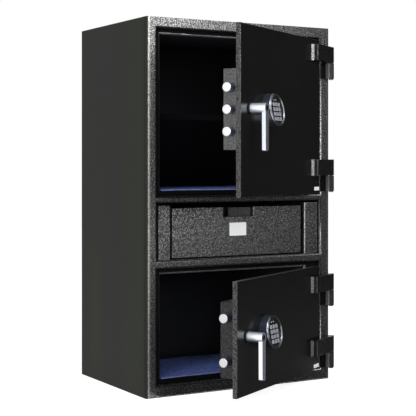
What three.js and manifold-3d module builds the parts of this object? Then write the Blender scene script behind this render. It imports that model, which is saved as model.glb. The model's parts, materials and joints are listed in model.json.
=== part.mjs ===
// Two-compartment drop safe with a deposit drawer between the compartments.
// Millimetres, +X to the right, +Y to the back, +Z up. The origin is the middle of the underside.
import * as THREE from "three";
import { mergeVertices } from "three/addons/utils/BufferGeometryUtils.js";
import Module from "manifold-3d";

const wasm = await Module();
wasm.setup();

// Body
const bodyWidth = 584;
const bodyDepth = 406;
const bodyHeight = 990;
const shellSheet = 4;
const shellBend = 3;
const seamGap = 0.3;
const overrun = 5;

// Front frame, from the floor up
const frameDepth = 15;
const frontEdgeRadius = 9.5;
const openingEdgeRadius = 6;
const stileWidth = 33.5;
const bottomRail = 31;
const lowerOpening = 302;
const drawerRail = 23;
const drawerOpening = 149;
const upperRail = 18.5;
const topRail = 29;

// Sheet liners of the two compartments and of the drawer bay
const linerSheet = 2;
const linerDepth = 336;
const lipFreeSide = 17.5;
const lipHingeSide = 43.5;
const lipTop = 14.5;
const lipBottom = 12.5;
const flangeReach = 7;
const keeperClearance = 2.5;
const keeperDepth = 18;
const bayDepth = 330;
const chuteWidth = 380;
const chuteLength = 112;
const chuteBackWall = 14;

// Shelf and floor mats
const shelfHeight = 206;
const shelfSheet = 2;
const shelfFrontLip = 16;
const shelfSetBack = 62;
const shelfSideGap = 1;
const clipWidth = 12;
const clipReach = 10;
const clipThickness = 4;
const clipInset = 60;
const matThickness = 5;
const matSideGap = 4;
const matFrontGap = 3;
const upperMatBackGap = 6;
const lowerMatBackGap = 79;
const matWave = 2.2;
const matWaveLength = 170;
const matColumns = 16;
const matRows = 8;

// Doors
const doorThickness = 12.7;
const doorFreeGap = 1.5;
const doorHingeInset = 60.5;
const doorTopGap = 10;
const upperDoorHeight = 425;
const lowerDoorHeight = 284;
const doorEdgeChamfer = 1.2;
const upperDoorAngle = 31.5;
const lowerDoorAngle = 30.5;
const upperHandleRise = 218.5;
const lowerHandleRise = 145;
const upperTopStrapDrop = 59.5;
const upperBottomStrapRise = 49;
const lowerTopStrapDrop = 70;
const lowerBottomStrapRise = 39;

// Block hinges: a strap on the door, a block with its pin on the frame
const knuckleSize = 16.8;
const hingeAxisInset = 1.5;
const strapReach = 113;
const strapLength = 44.5;
const hingeBlockReach = 13.5;
const hingeBlockLength = 43.5;
const hingeLift = 1;
const strapWeldLeg = 6;
const knuckleEdgeChamfer = 0.8;
const hingeLeafReach = 31;
const hingeLeafThickness = 2.5;
const pinDiameter = 9;
const pinClearance = 0.4;
const pinLength = 30;
const blockCapLength = 3;
const blockCapDiameter = 12;

// Lever handle with its spindle and cam
const handleFromEdge = 54.5;
const roseDiameter = 31;
const roseThickness = 3.5;
const barrelDiameter = 25;
const barrelLength = 45;
const barrelRecessDiameter = 14;
const barrelRecessDepth = 3;
const leverWidth = 18;
const leverThickness = 10;
const leverReach = 105;
const leverTipWidth = 16;
const spindleDiameter = 12;
const spindleClearance = 0.5;
const camDiameter = 44;
const camThickness = 5;
const camOffset = 3;
const camPinDiameter = 8;
const camPinSlack = 0.9;
const camPinEndLength = 2.5;

// Boltwork behind each door
const coverSheet = 2;
const coverDepth = 45;
const coverInset = 21;
const coverWidth = 300;
const coverBelowHandle = 102;
const upperCoverHeight = 199;
const lowerCoverHeight = 187;
const coverFlange = 12;
const boltDiameter = 23;
const boltThrow = 23;
const boltReach = 24;
const boltFromDoor = 25;
const boltChamfer = 1.5;
const boltPitch = 54;
const boltsBelowHandle = 3.5;
const lowerBoltsBelowHandle = 6.5;
const boltBarGap = 1.5;
const boltBarWidth = 14;
const boltBarThickness = 12;
const boltBarMargin = 18;
const boltClearance = 0.4;
const tongueLength = 24;
const tongueThickness = 4;
const tongueHeight = 64;
const lockLength = 84;
const lockHeight = 62;
const lockDepth = 28;
const lockFromHandle = 60;

// Keypad
const keypadDiameter = 84;
const keypadFromHandle = 100.5;
const keypadTilt = 9;
const keypadMidDepth = 24;
const bezelWidth = 7;
const bezelRise = 2.5;
const outerRingWidth = 3.2;
const innerRingWidth = 2.4;
const keyPanelRecess = 1.5;
const lampWindowWidth = 22;
const lampWindowHeight = 6.4;
const lampWindowDepth = 1;
const lampWindowRise = 25.5;
const lampDiameter = 3.2;
const lampPitch = 10;
const lampHeight = 0.7;
const keyRows = 4;
const keyColumns = 3;
const keyWidth = 12.5;
const keyHeight = 9.5;
const keyPitchX = 15;
const keyPitchZ = 12.4;
const keyThickness = 4.4;
const keyProud = 1.8;
const keyTravel = 1;
const keyClearance = 0.35;
const keyCorner = 2;
const keyBlockDrop = 5;

// Deposit drawer and the housings that carry it
const housingSideGap = 1;
const housingWidth = 45;
const housingRecess = 10;
const housingTopGap = 6;
const housingSheet = 2;
const housingEdgeRadius = 3.5;
const drawerRecess = 17;
const drawerFrontThickness = 10;
const drawerSideGap = 7.5;
const drawerBottomGap = 2.5;
const drawerFrontHeight = 132.5;
const pullWidth = 95;
const pullHeight = 26.5;
const pullDepth = 22;
const trayLength = 200;
const trayHeight = 100;
const traySheet = 2;
const traySlope = 7;
const trayFloorFront = 34;
const railHeight = 26;
const railFlange = 2;
const railReach = 8;
const railStart = 24;
const railLength = 268;
const railRise = 46;
const baffleThickness = 2;
const baffleSlot = 58;
const baffleTopGap = 5;
const baffleFoot = 14;

// Facets of round outlines
const smallRoundFaces = 14;
const roundFaces = 24;
const wideRoundFaces = 40;
const cornerFaces = 4;
const keyCornerFaces = 2;
const ringFaces = 6;

// Heights and edges that follow from the sizes above
const leftSide = -bodyWidth / 2;
const rightSide = bodyWidth / 2;
const frontFace = -bodyDepth / 2;
const backFace = bodyDepth / 2;
const openingLeft = leftSide + stileWidth;
const openingRight = rightSide - stileWidth;
const lowerOpeningSpan = [bottomRail, bottomRail + lowerOpening];
const drawerOpeningSpan = [lowerOpeningSpan[1] + drawerRail, lowerOpeningSpan[1] + drawerRail + drawerOpening];
const upperOpeningSpan = [drawerOpeningSpan[1] + upperRail, bodyHeight - topRail];
const hingeStandOff = knuckleSize / 2 + seamGap;
const hingeAxisX = rightSide - hingeAxisInset;
const hingeAxisY = frontFace - hingeStandOff;

function degrees(angle) {
  return THREE.MathUtils.degToRad(angle);
}

// Turns a closed geometry into a solid that can be joined and cut.
function solidOf(geometry) {
  const bare = geometry.clone();
  bare.deleteAttribute("normal");
  bare.deleteAttribute("uv");
  const merged = mergeVertices(bare, 1e-4);
  const mesh = new wasm.Mesh({
    numProp: 3,
    vertProperties: Float32Array.from(merged.attributes.position.array),
    triVerts: Uint32Array.from(merged.index.array),
  });
  return new wasm.Manifold(mesh);
}

// Turns a solid back into a geometry with flat shading.
function geometryOf(solid) {
  const mesh = solid.getMesh();
  const geometry = new THREE.BufferGeometry();
  geometry.setAttribute("position", new THREE.BufferAttribute(Float32Array.from(mesh.vertProperties), 3));
  geometry.setIndex(new THREE.BufferAttribute(Uint32Array.from(mesh.triVerts), 1));
  geometry.computeVertexNormals();
  return geometry;
}

// A rectangular block between two corners, each side given as [low, high].
function block(x, y, z) {
  const geometry = new THREE.BoxGeometry(x[1] - x[0], y[1] - y[0], z[1] - z[0]);
  geometry.translate((x[0] + x[1]) / 2, (y[0] + y[1]) / 2, (z[0] + z[1]) / 2);
  return solidOf(geometry);
}

// An outline pushed along an axis: drawn in X and Y for "z", in X and Z for "y", in Y and Z for "x".
function prism(outline, axis, span, faces = cornerFaces) {
  const depth = span[1] - span[0];
  const geometry = new THREE.ExtrudeGeometry(outline, { depth, bevelEnabled: false, curveSegments: faces });
  if (axis === "z") {
    geometry.translate(0, 0, span[0]);
  } else if (axis === "y") {
    geometry.rotateX(Math.PI / 2);
    geometry.translate(0, span[1], 0);
  } else {
    const turn = new THREE.Matrix4().makeBasis(
      new THREE.Vector3(0, 1, 0), new THREE.Vector3(0, 0, 1), new THREE.Vector3(1, 0, 0));
    geometry.applyMatrix4(turn);
    geometry.translate(span[0], 0, 0);
  }
  return solidOf(geometry);
}

// A round bar along an axis, centred on the two other coordinates.
function bar(axis, centre, diameter, span, faces = roundFaces, endDiameter = diameter) {
  const length = span[1] - span[0];
  const geometry = new THREE.CylinderGeometry(endDiameter / 2, diameter / 2, length, faces);
  geometry.translate(0, (span[0] + span[1]) / 2, 0);
  if (axis === "z") {
    geometry.rotateX(Math.PI / 2);
    geometry.translate(centre[0], centre[1], 0);
  } else if (axis === "y") {
    geometry.translate(centre[0], 0, centre[1]);
  } else {
    geometry.rotateZ(-Math.PI / 2);
    geometry.translate(0, centre[0], centre[1]);
  }
  return solidOf(geometry);
}

// A rectangle between two corners, with its corners rounded by one radius, or by one radius each.
function rounded(x, y, radius, faces = cornerFaces) {
  const radii = Array.isArray(radius) ? radius : [radius, radius, radius, radius];
  const corners = [
    [x[0], y[0], 1, 1, Math.PI],
    [x[1], y[0], -1, 1, -Math.PI / 2],
    [x[1], y[1], -1, -1, 0],
    [x[0], y[1], 1, -1, Math.PI / 2],
  ];
  const points = [];
  corners.forEach(([cornerX, cornerY, inX, inY, start], i) => {
    const steps = radii[i] > 0 ? faces : 0;
    for (let step = 0; step <= steps; step += 1) {
      const angle = start + (step / Math.max(steps, 1)) * (Math.PI / 2);
      points.push(new THREE.Vector2(
        cornerX + radii[i] * (inX + Math.cos(angle)),
        cornerY + radii[i] * (inY + Math.sin(angle))));
    }
  });
  return new THREE.Shape(points);
}

// An opening through a plate whose front edges are rounded over: rings of a rectangle that widen
// towards the front face by the curve of a quarter round.
function roundedOpening(x, z, front, depth, radius) {
  const rings = [];
  const steps = cornerFaces;
  rings.push([front - overrun, radius]);
  for (let i = 0; i <= steps; i += 1) {
    const angle = (i / steps) * (Math.PI / 2);
    rings.push([front + radius * (1 - Math.cos(angle)), radius * (1 - Math.sin(angle))]);
  }
  rings.push([front + depth + overrun, 0]);
  const positions = [];
  for (const [y, grow] of rings) {
    positions.push(x[0] - grow, y, z[0] - grow, x[1] + grow, y, z[0] - grow);
    positions.push(x[1] + grow, y, z[1] + grow, x[0] - grow, y, z[1] + grow);
  }
  const index = [0, 1, 2, 0, 2, 3];
  for (let ring = 0; ring + 1 < rings.length; ring += 1) {
    for (let side = 0; side < 4; side += 1) {
      const a = ring * 4 + side;
      const b = ring * 4 + ((side + 1) % 4);
      index.push(a, a + 4, b, b, a + 4, b + 4);
    }
  }
  const last = (rings.length - 1) * 4;
  index.push(last, last + 2, last + 1, last, last + 3, last + 2);
  const geometry = new THREE.BufferGeometry();
  geometry.setAttribute("position", new THREE.Float32BufferAttribute(positions, 3));
  geometry.setIndex(index);
  return solidOf(geometry);
}

function cutAll(solid, cuts) {
  return cuts.reduce((left, cut) => left.subtract(cut), solid);
}

function joinAll(solids) {
  return solids.reduce((left, right) => left.add(right));
}

function finish(color, roughness, metalness) {
  return new THREE.MeshStandardMaterial({ color, roughness, metalness });
}

const finishes = {
  smoothBlack: () => finish(0x1c1e1d, 0.5, 0.2),
  texturedBlack: () => finish(0x2e2f2e, 0.6, 0.3),
  linerBlack: () => finish(0x111211, 0.7, 0.1),
  filling: () => finish(0xb9b3a6, 0.95, 0),
  blueFelt: () => finish(0x26386b, 0.95, 0),
  chrome: () => finish(0xd8dade, 0.12, 1),
  brightSteel: () => finish(0xcfd1d3, 0.25, 1),
  platedSteel: () => finish(0x9a9c9e, 0.45, 0.9),
  keypadBlack: () => finish(0x17181a, 0.4, 0),
  keyGrey: () => finish(0xb4b6b8, 0.5, 0),
};

function piece(group, name, solid, material) {
  const mesh = new THREE.Mesh(geometryOf(solid), material);
  mesh.name = name;
  group.add(mesh);
  return mesh;
}

// Root pieces: shell, frame, filling and liners
const safe = new THREE.Group();

function shellOutline(inset) {
  const x = [leftSide + inset, rightSide - inset];
  const z = [inset, bodyHeight - inset];
  return rounded(x, z, Math.max(shellBend - inset, 0));
}

function outerShell() {
  const span = [frontFace + frameDepth + seamGap, backFace];
  const hollow = [span[0] - overrun, backFace - shellSheet];
  return prism(shellOutline(0), "y", span).subtract(prism(shellOutline(shellSheet), "y", hollow));
}

function frontFrame() {
  const radii = [frontEdgeRadius, frontEdgeRadius, 0, 0];
  const plan = rounded([leftSide, rightSide], [frontFace, frontFace + frameDepth], radii, cornerFaces + 2);
  const plate = prism(plan, "z", [0, bodyHeight]);
  const front = prism(shellOutline(0), "y", [frontFace - overrun, backFace]);
  const openings = [lowerOpeningSpan, drawerOpeningSpan, upperOpeningSpan].map((span) =>
    roundedOpening([openingLeft, openingRight], span, frontFace, frameDepth, openingEdgeRadius));
  return cutAll(plate.intersect(front), openings);
}

const linerFront = frontFace + frameDepth + seamGap;

// Clear inner sides of one compartment, as [low, high] pairs.
function compartment(openingSpan) {
  return {
    x: [openingLeft + lipFreeSide, openingRight - lipHingeSide],
    y: [linerFront, linerFront + linerDepth],
    z: [openingSpan[0] + lipBottom, openingSpan[1] - lipTop],
  };
}

const upperRoom = compartment(upperOpeningSpan);
const lowerRoom = compartment(lowerOpeningSpan);
const bayRoom = {
  x: [openingLeft, openingRight],
  y: [linerFront, linerFront + bayDepth],
  z: drawerOpeningSpan,
};
const shelfTop = upperRoom.z[0] + shelfHeight;

function grown(span, amount) {
  return [span[0] - amount, span[1] + amount];
}

// A five-sided sheet box open to the front, with a flange that seats behind the frame.
function linerBox(room, openingSpan) {
  const back = room.y[1] + linerSheet;
  const box = block(grown(room.x, linerSheet), [room.y[0], back], grown(room.z, linerSheet));
  const flange = block(
    grown([openingLeft, openingRight], flangeReach),
    [room.y[0], room.y[0] + linerSheet],
    grown(openingSpan, flangeReach));
  return box.add(flange).subtract(block(room.x, [room.y[0] - overrun, room.y[1]], room.z));
}

const boltDepth = frontFace + doorThickness + boltFromDoor;
const keeperDiameter = boltDiameter + 2 * keeperClearance;

// The upper door has three bolts, the lower door two, on one pitch or two.
const upperDoorSpan = [
  upperOpeningSpan[1] - doorTopGap - upperDoorHeight,
  upperOpeningSpan[1] - doorTopGap,
];
const lowerDoorSpan = [
  lowerOpeningSpan[1] - doorTopGap - lowerDoorHeight,
  lowerOpeningSpan[1] - doorTopGap,
];
const upperHandleHeight = upperDoorSpan[0] + upperHandleRise;
const lowerHandleHeight = lowerDoorSpan[0] + lowerHandleRise;
const upperBolts = [-1, 0, 1].map((step) => upperHandleHeight - boltsBelowHandle + step * boltPitch);
const lowerBolts = [-1, 1].map((step) => lowerHandleHeight - lowerBoltsBelowHandle + step * boltPitch);

function keeperHoles(room, bolts) {
  const span = [room.x[0] - linerSheet - overrun, room.x[0] + overrun];
  return bolts.map((z) => bar("x", [boltDepth, z], keeperDiameter, span));
}

function shelfClips(room) {
  const clips = [];
  const z = [shelfTop - shelfSheet - seamGap - clipThickness, shelfTop - shelfSheet - seamGap];
  const rows = [room.y[0] + shelfSetBack + clipInset, room.y[1] - clipInset];
  for (const y of rows) {
    const left = [room.x[0] - linerSheet / 2, room.x[0] + clipReach];
    const right = [room.x[1] - clipReach, room.x[1] + linerSheet / 2];
    for (const x of [left, right]) {
      clips.push(block(x, [y - clipWidth / 2, y + clipWidth / 2], z));
    }
  }
  return clips;
}

const chute = {
  x: [-chuteWidth / 2, chuteWidth / 2],
  y: [bayRoom.y[1] - chuteBackWall - chuteLength, bayRoom.y[1] - chuteBackWall],
};

function upperLiner() {
  const box = cutAll(linerBox(upperRoom, upperOpeningSpan), keeperHoles(upperRoom, upperBolts));
  return joinAll([box, ...shelfClips(upperRoom)]);
}

function lowerLiner() {
  const mouth = block(
    grown(chute.x, linerSheet + seamGap),
    grown(chute.y, linerSheet + seamGap),
    [lowerRoom.z[1] - overrun, lowerRoom.z[1] + linerSheet + overrun]);
  return cutAll(linerBox(lowerRoom, lowerOpeningSpan), [mouth, ...keeperHoles(lowerRoom, lowerBolts)]);
}

// The drawer bay's liner carries the drop chute, a duct down into the lower compartment.
function bayLiner() {
  const box = linerBox(bayRoom, drawerOpeningSpan);
  const ductSpan = [lowerRoom.z[1] - overrun, bayRoom.z[0] - linerSheet / 2];
  const duct = block(grown(chute.x, linerSheet), grown(chute.y, linerSheet), ductSpan);
  const way = block(chute.x, chute.y, [ductSpan[0] - overrun, bayRoom.z[0] + overrun]);
  return box.add(duct).subtract(way);
}

function fillingPocket(room) {
  const back = room.y[1] + linerSheet + seamGap;
  return block(
    grown(room.x, linerSheet + seamGap),
    [room.y[0] - overrun, back],
    grown(room.z, linerSheet + seamGap));
}

function insulationFill() {
  const inset = shellSheet + seamGap;
  const body = block(
    [leftSide + inset, rightSide - inset],
    [linerFront + linerSheet + seamGap, backFace - inset],
    [inset, bodyHeight - inset]);
  const rooms = [
    fillingPocket(upperRoom),
    fillingPocket(lowerRoom),
    fillingPocket(bayRoom),
  ];
  const duct = block(
    grown(chute.x, linerSheet + seamGap),
    grown(chute.y, linerSheet + seamGap),
    [lowerRoom.z[1], bayRoom.z[0]]);
  const keepers = [[upperRoom, upperBolts], [lowerRoom, lowerBolts]].map(([room, bolts]) => block(
    [room.x[0] - linerSheet - keeperDepth, room.x[0]],
    grown([boltDepth, boltDepth], keeperDiameter / 2),
    grown([Math.min(...bolts), Math.max(...bolts)], keeperDiameter / 2)));
  return cutAll(body, [...rooms, duct, ...keepers]);
}

function shelf() {
  const x = [upperRoom.x[0] + shelfSideGap, upperRoom.x[1] - shelfSideGap];
  const y = [upperRoom.y[0] + shelfSetBack, upperRoom.y[1] - shelfSideGap];
  const plate = block(x, y, [shelfTop - shelfSheet, shelfTop]);
  const lip = block(x, [y[0], y[0] + shelfSheet], [shelfTop - shelfFrontLip, shelfTop]);
  return plate.add(lip);
}

// A felt mat: a flat underside and a top that rises and falls a little.
function mat(room, backGap) {
  const width = room.x[1] - room.x[0] - 2 * matSideGap;
  const depth = room.y[1] - room.y[0] - matFrontGap - backGap;
  const geometry = new THREE.BoxGeometry(width, depth, matThickness, matColumns, matRows, 1);
  const position = geometry.attributes.position;
  for (let i = 0; i < position.count; i += 1) {
    if (position.getZ(i) > 0) {
      const x = position.getX(i);
      const y = position.getY(i);
      const phase = (2 * Math.PI) / matWaveLength;
      const wave = Math.sin(x * phase + y * phase / 2) + Math.cos(y * phase - x * phase / 3);
      position.setZ(i, position.getZ(i) + (matWave * (wave + 2)) / 4);
    }
  }
  geometry.translate(
    (room.x[0] + room.x[1]) / 2,
    room.y[0] + matFrontGap + depth / 2,
    room.z[0] + seamGap + matThickness / 2);
  return solidOf(geometry);
}

piece(safe, "outer_shell", outerShell(), finishes.smoothBlack());
piece(safe, "front_frame", frontFrame(), finishes.texturedBlack());
piece(safe, "insulation_fill", insulationFill(), finishes.filling());
piece(safe, "upper_liner", upperLiner(), finishes.linerBlack());
piece(safe, "lower_liner", lowerLiner(), finishes.linerBlack());
piece(safe, "drawer_bay_liner", bayLiner(), finishes.linerBlack());
piece(safe, "upper_shelf", shelf(), finishes.linerBlack());
piece(safe, "upper_mat", mat(upperRoom, upperMatBackGap), finishes.blueFelt());
piece(safe, "lower_mat", mat(lowerRoom, lowerMatBackGap), finishes.blueFelt());

// Deposit drawer
const housingSpanZ = [drawerOpeningSpan[0] + seamGap, drawerOpeningSpan[1] - housingTopGap];
const housingSpanY = [frontFace + housingRecess, bayRoom.y[1] - seamGap];
const housingInner = openingRight - housingSideGap - housingWidth;
const trayHalf = housingInner - drawerSideGap - traySheet * 2;
const railGap = housingInner - trayHalf;
const railZ = [drawerOpeningSpan[0] + railRise, drawerOpeningSpan[0] + railRise + railHeight];
const trayFront = frontFace + drawerRecess + drawerFrontThickness + seamGap;
const trayBottom = drawerOpeningSpan[0] + drawerBottomGap;

// A sheet casing beside the drawer, open at the back, with the fixed runner channel on its inner side.
// It is drawn for the right side and mirrored for the left.
function drawerHousing(side) {
  const x = [housingInner, openingRight - housingSideGap];
  const radii = [housingEdgeRadius, housingEdgeRadius, 0, 0];
  const outer = prism(rounded(x, housingSpanY, radii), "z", housingSpanZ);
  const hollow = block(
    grown(x, -housingSheet),
    [housingSpanY[0] + housingSheet, housingSpanY[1] + overrun],
    grown(housingSpanZ, -housingSheet));
  const runnerX = [x[0] - railReach, x[0] + housingSheet / 2];
  const runnerY = [housingSpanY[0] + railStart, housingSpanY[1]];
  const runner = block(runnerX, runnerY, grown(railZ, railFlange + seamGap));
  const channel = block([runnerX[0] - overrun, x[0]], grown(runnerY, overrun), grown(railZ, seamGap));
  const casing = outer.subtract(hollow).add(runner.subtract(channel));
  return side > 0 ? casing : casing.mirror([1, 0, 0]);
}

function drawerFront() {
  const x = [-housingInner + drawerSideGap, housingInner - drawerSideGap];
  const y = [frontFace + drawerRecess, frontFace + drawerRecess + drawerFrontThickness];
  const z = [trayBottom, trayBottom + drawerFrontHeight];
  const plate = block(x, y, z);
  const pull = block([-pullWidth / 2, pullWidth / 2], grown(y, overrun), [z[1] - pullHeight, z[1] + overrun]);
  return plate.subtract(pull);
}

// The tray: a front wall with the pull's cup, two sides with the moving rails, and a floor that
// slopes down to an open rear edge, over which a deposit slides into the chute.
function drawerTray() {
  const back = trayFront + trayLength;
  const top = trayBottom + trayHeight;
  const slopeDrop = trayLength * Math.tan(degrees(traySlope));
  const floorRear = trayBottom + trayFloorFront - slopeDrop;
  const side = new THREE.Shape();
  side.moveTo(trayFront, trayBottom);
  side.lineTo(back, trayBottom);
  side.lineTo(back, top - trayHeight / 4);
  side.lineTo(trayFront + trayLength / 2, top);
  side.lineTo(trayFront, top);
  const sides = [-1, 1].map((end) => {
    const x = end > 0 ? [trayHalf - traySheet, trayHalf] : [-trayHalf, -trayHalf + traySheet];
    return prism(side, "x", x);
  });
  const floor = new THREE.Shape();
  floor.moveTo(trayFront, trayBottom + trayFloorFront);
  floor.lineTo(trayFront, trayBottom + trayFloorFront - traySheet);
  floor.lineTo(back, floorRear - traySheet);
  floor.lineTo(back, floorRear);
  const spanX = [-trayHalf, trayHalf];
  const frontTop = trayBottom + drawerFrontHeight - pullHeight;
  const wall = block(spanX, [trayFront, trayFront + traySheet], [trayBottom, frontTop]);
  const cupX = [-pullWidth / 2 - traySheet, pullWidth / 2 + traySheet];
  const cupZ = [frontTop - traySheet, trayBottom + drawerFrontHeight - traySheet];
  const cupOuter = block(cupX, [trayFront, trayFront + pullDepth], cupZ);
  const cupInner = block(grown(cupX, -traySheet), [trayFront - overrun, trayFront + pullDepth - traySheet],
    [cupZ[0] + traySheet, cupZ[1] + overrun]);
  const rails = [-1, 1].map((end) => {
    const near = trayHalf - traySheet / 2;
    const far = housingInner - seamGap;
    const x = end > 0 ? [near, far] : [-far, -near];
    return block(x, [trayFront + railStart, trayFront + railStart + railLength], railZ);
  });
  return joinAll([wall, ...sides, prism(floor, "x", spanX), cupOuter.subtract(cupInner), ...rails]);
}

// A plate across the rear of the tray that leaves a slot for the deposit above the floor.
function antiFishBaffle() {
  const back = trayFront + trayLength;
  const inner = trayHalf - traySheet - seamGap;
  const x = [-inner, inner];
  const y = [back - baffleFoot, back - baffleFoot + baffleThickness];
  const z = [trayBottom + baffleSlot, drawerOpeningSpan[1] - baffleTopGap];
  const plate = block(x, y, z);
  const fold = block(x, [y[0], y[0] + baffleFoot], [z[0], z[0] + baffleThickness]);
  return plate.add(fold);
}

piece(safe, "left_drawer_housing", drawerHousing(-1), finishes.texturedBlack());
piece(safe, "right_drawer_housing", drawerHousing(1), finishes.texturedBlack());
const drawer = new THREE.Group();
safe.add(drawer);
piece(drawer, "drawer_front", drawerFront(), finishes.texturedBlack());
piece(drawer, "drawer_tray", drawerTray(), finishes.linerBlack());
piece(drawer, "anti_fish_baffle", antiFishBaffle(), finishes.platedSteel());

// Doors. Each door is drawn shut, from its hinge axis, and its group is then turned open.
const doorFreeEdge = openingLeft + doorFreeGap - hingeAxisX;
const doorHingeEdge = -doorHingeInset;
const doorFaceY = hingeStandOff;
const doorBackY = doorFaceY + doorThickness;
const handleX = doorFreeEdge + handleFromEdge;
const keypadX = handleX + keypadFromHandle;
const coverX = [doorFreeEdge + coverInset, doorFreeEdge + coverInset + coverWidth];
const boltY = doorBackY + boltFromDoor;
const camY = [doorBackY + camOffset, doorBackY + camOffset + camThickness];
const barY = [boltY - boltBarThickness / 2, boltY + boltBarThickness / 2];
const camPinRadius = boltThrow / 2 / Math.sin(degrees(45));

// The plate, chamfered round its front face, with holes for the spindle and the keypad's cable.
function doorPlate(door) {
  const x = [doorFreeEdge, doorHingeEdge];
  const shape = rounded(grown(x, -doorEdgeChamfer), grown(door.span, -doorEdgeChamfer), 0);
  const geometry = new THREE.ExtrudeGeometry(shape, {
    depth: doorThickness - doorEdgeChamfer,
    bevelEnabled: true,
    bevelThickness: doorEdgeChamfer,
    bevelSize: doorEdgeChamfer,
    bevelSegments: 1,
  });
  geometry.rotateX(Math.PI / 2);
  geometry.translate(0, doorBackY, 0);
  const trimmed = solidOf(geometry).intersect(block(x, [doorFaceY, doorBackY], door.span));
  const through = grown([doorFaceY, doorBackY], overrun);
  return cutAll(trimmed, [
    bar("y", [handleX, door.handle], spindleDiameter + 2 * spindleClearance, through),
    bar("y", [keypadX, door.handle], spindleDiameter, through),
  ]);
}

// A bar seen from above, whose right end is rounded about the hinge axis. Its left end may carry
// the weld, a fillet down to the face behind it.
function knuckleOutline(reach, weldLeg) {
  const half = knuckleSize / 2;
  const outline = new THREE.Shape();
  outline.moveTo(-reach - weldLeg, half);
  outline.lineTo(-reach, half - weldLeg);
  outline.lineTo(-reach, -half + knuckleEdgeChamfer);
  outline.lineTo(-reach + knuckleEdgeChamfer, -half);
  outline.absarc(0, 0, half, -Math.PI / 2, Math.PI / 2, false);
  return outline;
}

// The bar on the door, with a blind bore from below for the pin.
function hingeStrap(bottom) {
  const outline = knuckleOutline(strapReach, strapWeldLeg);
  const strap = prism(outline, "z", [bottom, bottom + strapLength], smallRoundFaces);
  const bore = bar("z", [0, 0], pinDiameter + 2 * pinClearance,
    [bottom - overrun, bottom + pinLength + hingeLift], smallRoundFaces);
  return strap.subtract(bore);
}

// The frame's half of a hinge: a short length of the same bar below the strap, with the pin that the
// strap drops onto, and a thin leaf that reaches over the stile to the edge of the opening.
function hingeBlock(strapBottom) {
  const top = strapBottom - hingeLift;
  const bottom = top - hingeBlockLength;
  const back = knuckleSize / 2;
  const knuckle = joinAll([
    prism(knuckleOutline(hingeBlockReach, 0), "z", [bottom, top], smallRoundFaces),
    block([-hingeLeafReach, 0], [back - hingeLeafThickness, back], [bottom, top]),
    bar("z", [0, 0], pinDiameter, [top - overrun, strapBottom + pinLength - hingeLift], smallRoundFaces),
    bar("z", [0, 0], blockCapDiameter, [bottom - blockCapLength, bottom + overrun], smallRoundFaces),
  ]);
  return knuckle.translate([hingeAxisX, hingeAxisY, 0]);
}

// Barrel, lever, spindle and cam turn as one. The cam's pin drives the bolt bar.
function leverHandle(door) {
  const z = door.handle;
  const barrelFront = doorFaceY - barrelLength;
  const barrel = bar("y", [handleX, z], barrelDiameter, [barrelFront, doorFaceY - roseThickness - seamGap]);
  const lever = new THREE.Shape();
  lever.moveTo(handleX - leverWidth / 2, z);
  lever.lineTo(handleX - leverTipWidth / 2, z - leverReach + leverTipWidth / 4);
  lever.absarc(handleX - leverTipWidth / 4, z - leverReach + leverTipWidth / 4, leverTipWidth / 4,
    Math.PI, Math.PI * 1.5, false);
  lever.absarc(handleX + leverTipWidth / 4, z - leverReach + leverTipWidth / 4, leverTipWidth / 4,
    Math.PI * 1.5, Math.PI * 2, false);
  lever.lineTo(handleX + leverWidth / 2, z);
  const blade = prism(lever, "y", [barrelFront, barrelFront + leverThickness]);
  const recess = bar("y", [handleX, z], barrelRecessDiameter,
    [barrelFront - overrun, barrelFront + barrelRecessDepth]);
  const spindle = bar("y", [handleX, z], spindleDiameter, [barrelFront + leverThickness, camY[1]]);
  const cam = bar("y", [handleX, z], camDiameter, camY);
  const pinAngle = degrees(135);
  const pinCentre = [handleX + camPinRadius * Math.cos(pinAngle), z + camPinRadius * Math.sin(pinAngle)];
  const pinSpan = [camY[1] - camThickness / 2, barY[0] + tongueThickness + camPinEndLength];
  const camPin = bar("y", pinCentre, camPinDiameter, pinSpan, smallRoundFaces);
  return joinAll([barrel, blade, spindle, cam, camPin]).subtract(recess);
}

function handleRose(door) {
  const span = [doorFaceY - seamGap - roseThickness, doorFaceY - seamGap];
  const ring = bar("y", [handleX, door.handle], roseDiameter, span);
  const hole = bar("y", [handleX, door.handle], spindleDiameter + 2 * spindleClearance, grown(span, overrun));
  return ring.subtract(hole);
}

// A sheet cover over the boltwork, open towards the door, with a fixing flange and round bolt holes.
function boltworkCover(door) {
  const y = [doorBackY + seamGap, doorBackY + coverDepth];
  const outer = block(coverX, y, door.cover);
  const flange = block([coverX[0], coverX[1] + coverFlange], [y[0], y[0] + coverSheet],
    grown(door.cover, coverFlange));
  const hollow = block(grown(coverX, -coverSheet), [y[0] - overrun, y[1] - coverSheet],
    grown(door.cover, -coverSheet));
  const holes = door.bolts.map((z) => bar("x", [boltY, z], boltDiameter + 2 * boltClearance,
    [coverX[0] - overrun, coverX[0] + coverSheet + overrun]));
  return cutAll(outer.add(flange), [hollow, ...holes]);
}

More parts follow.
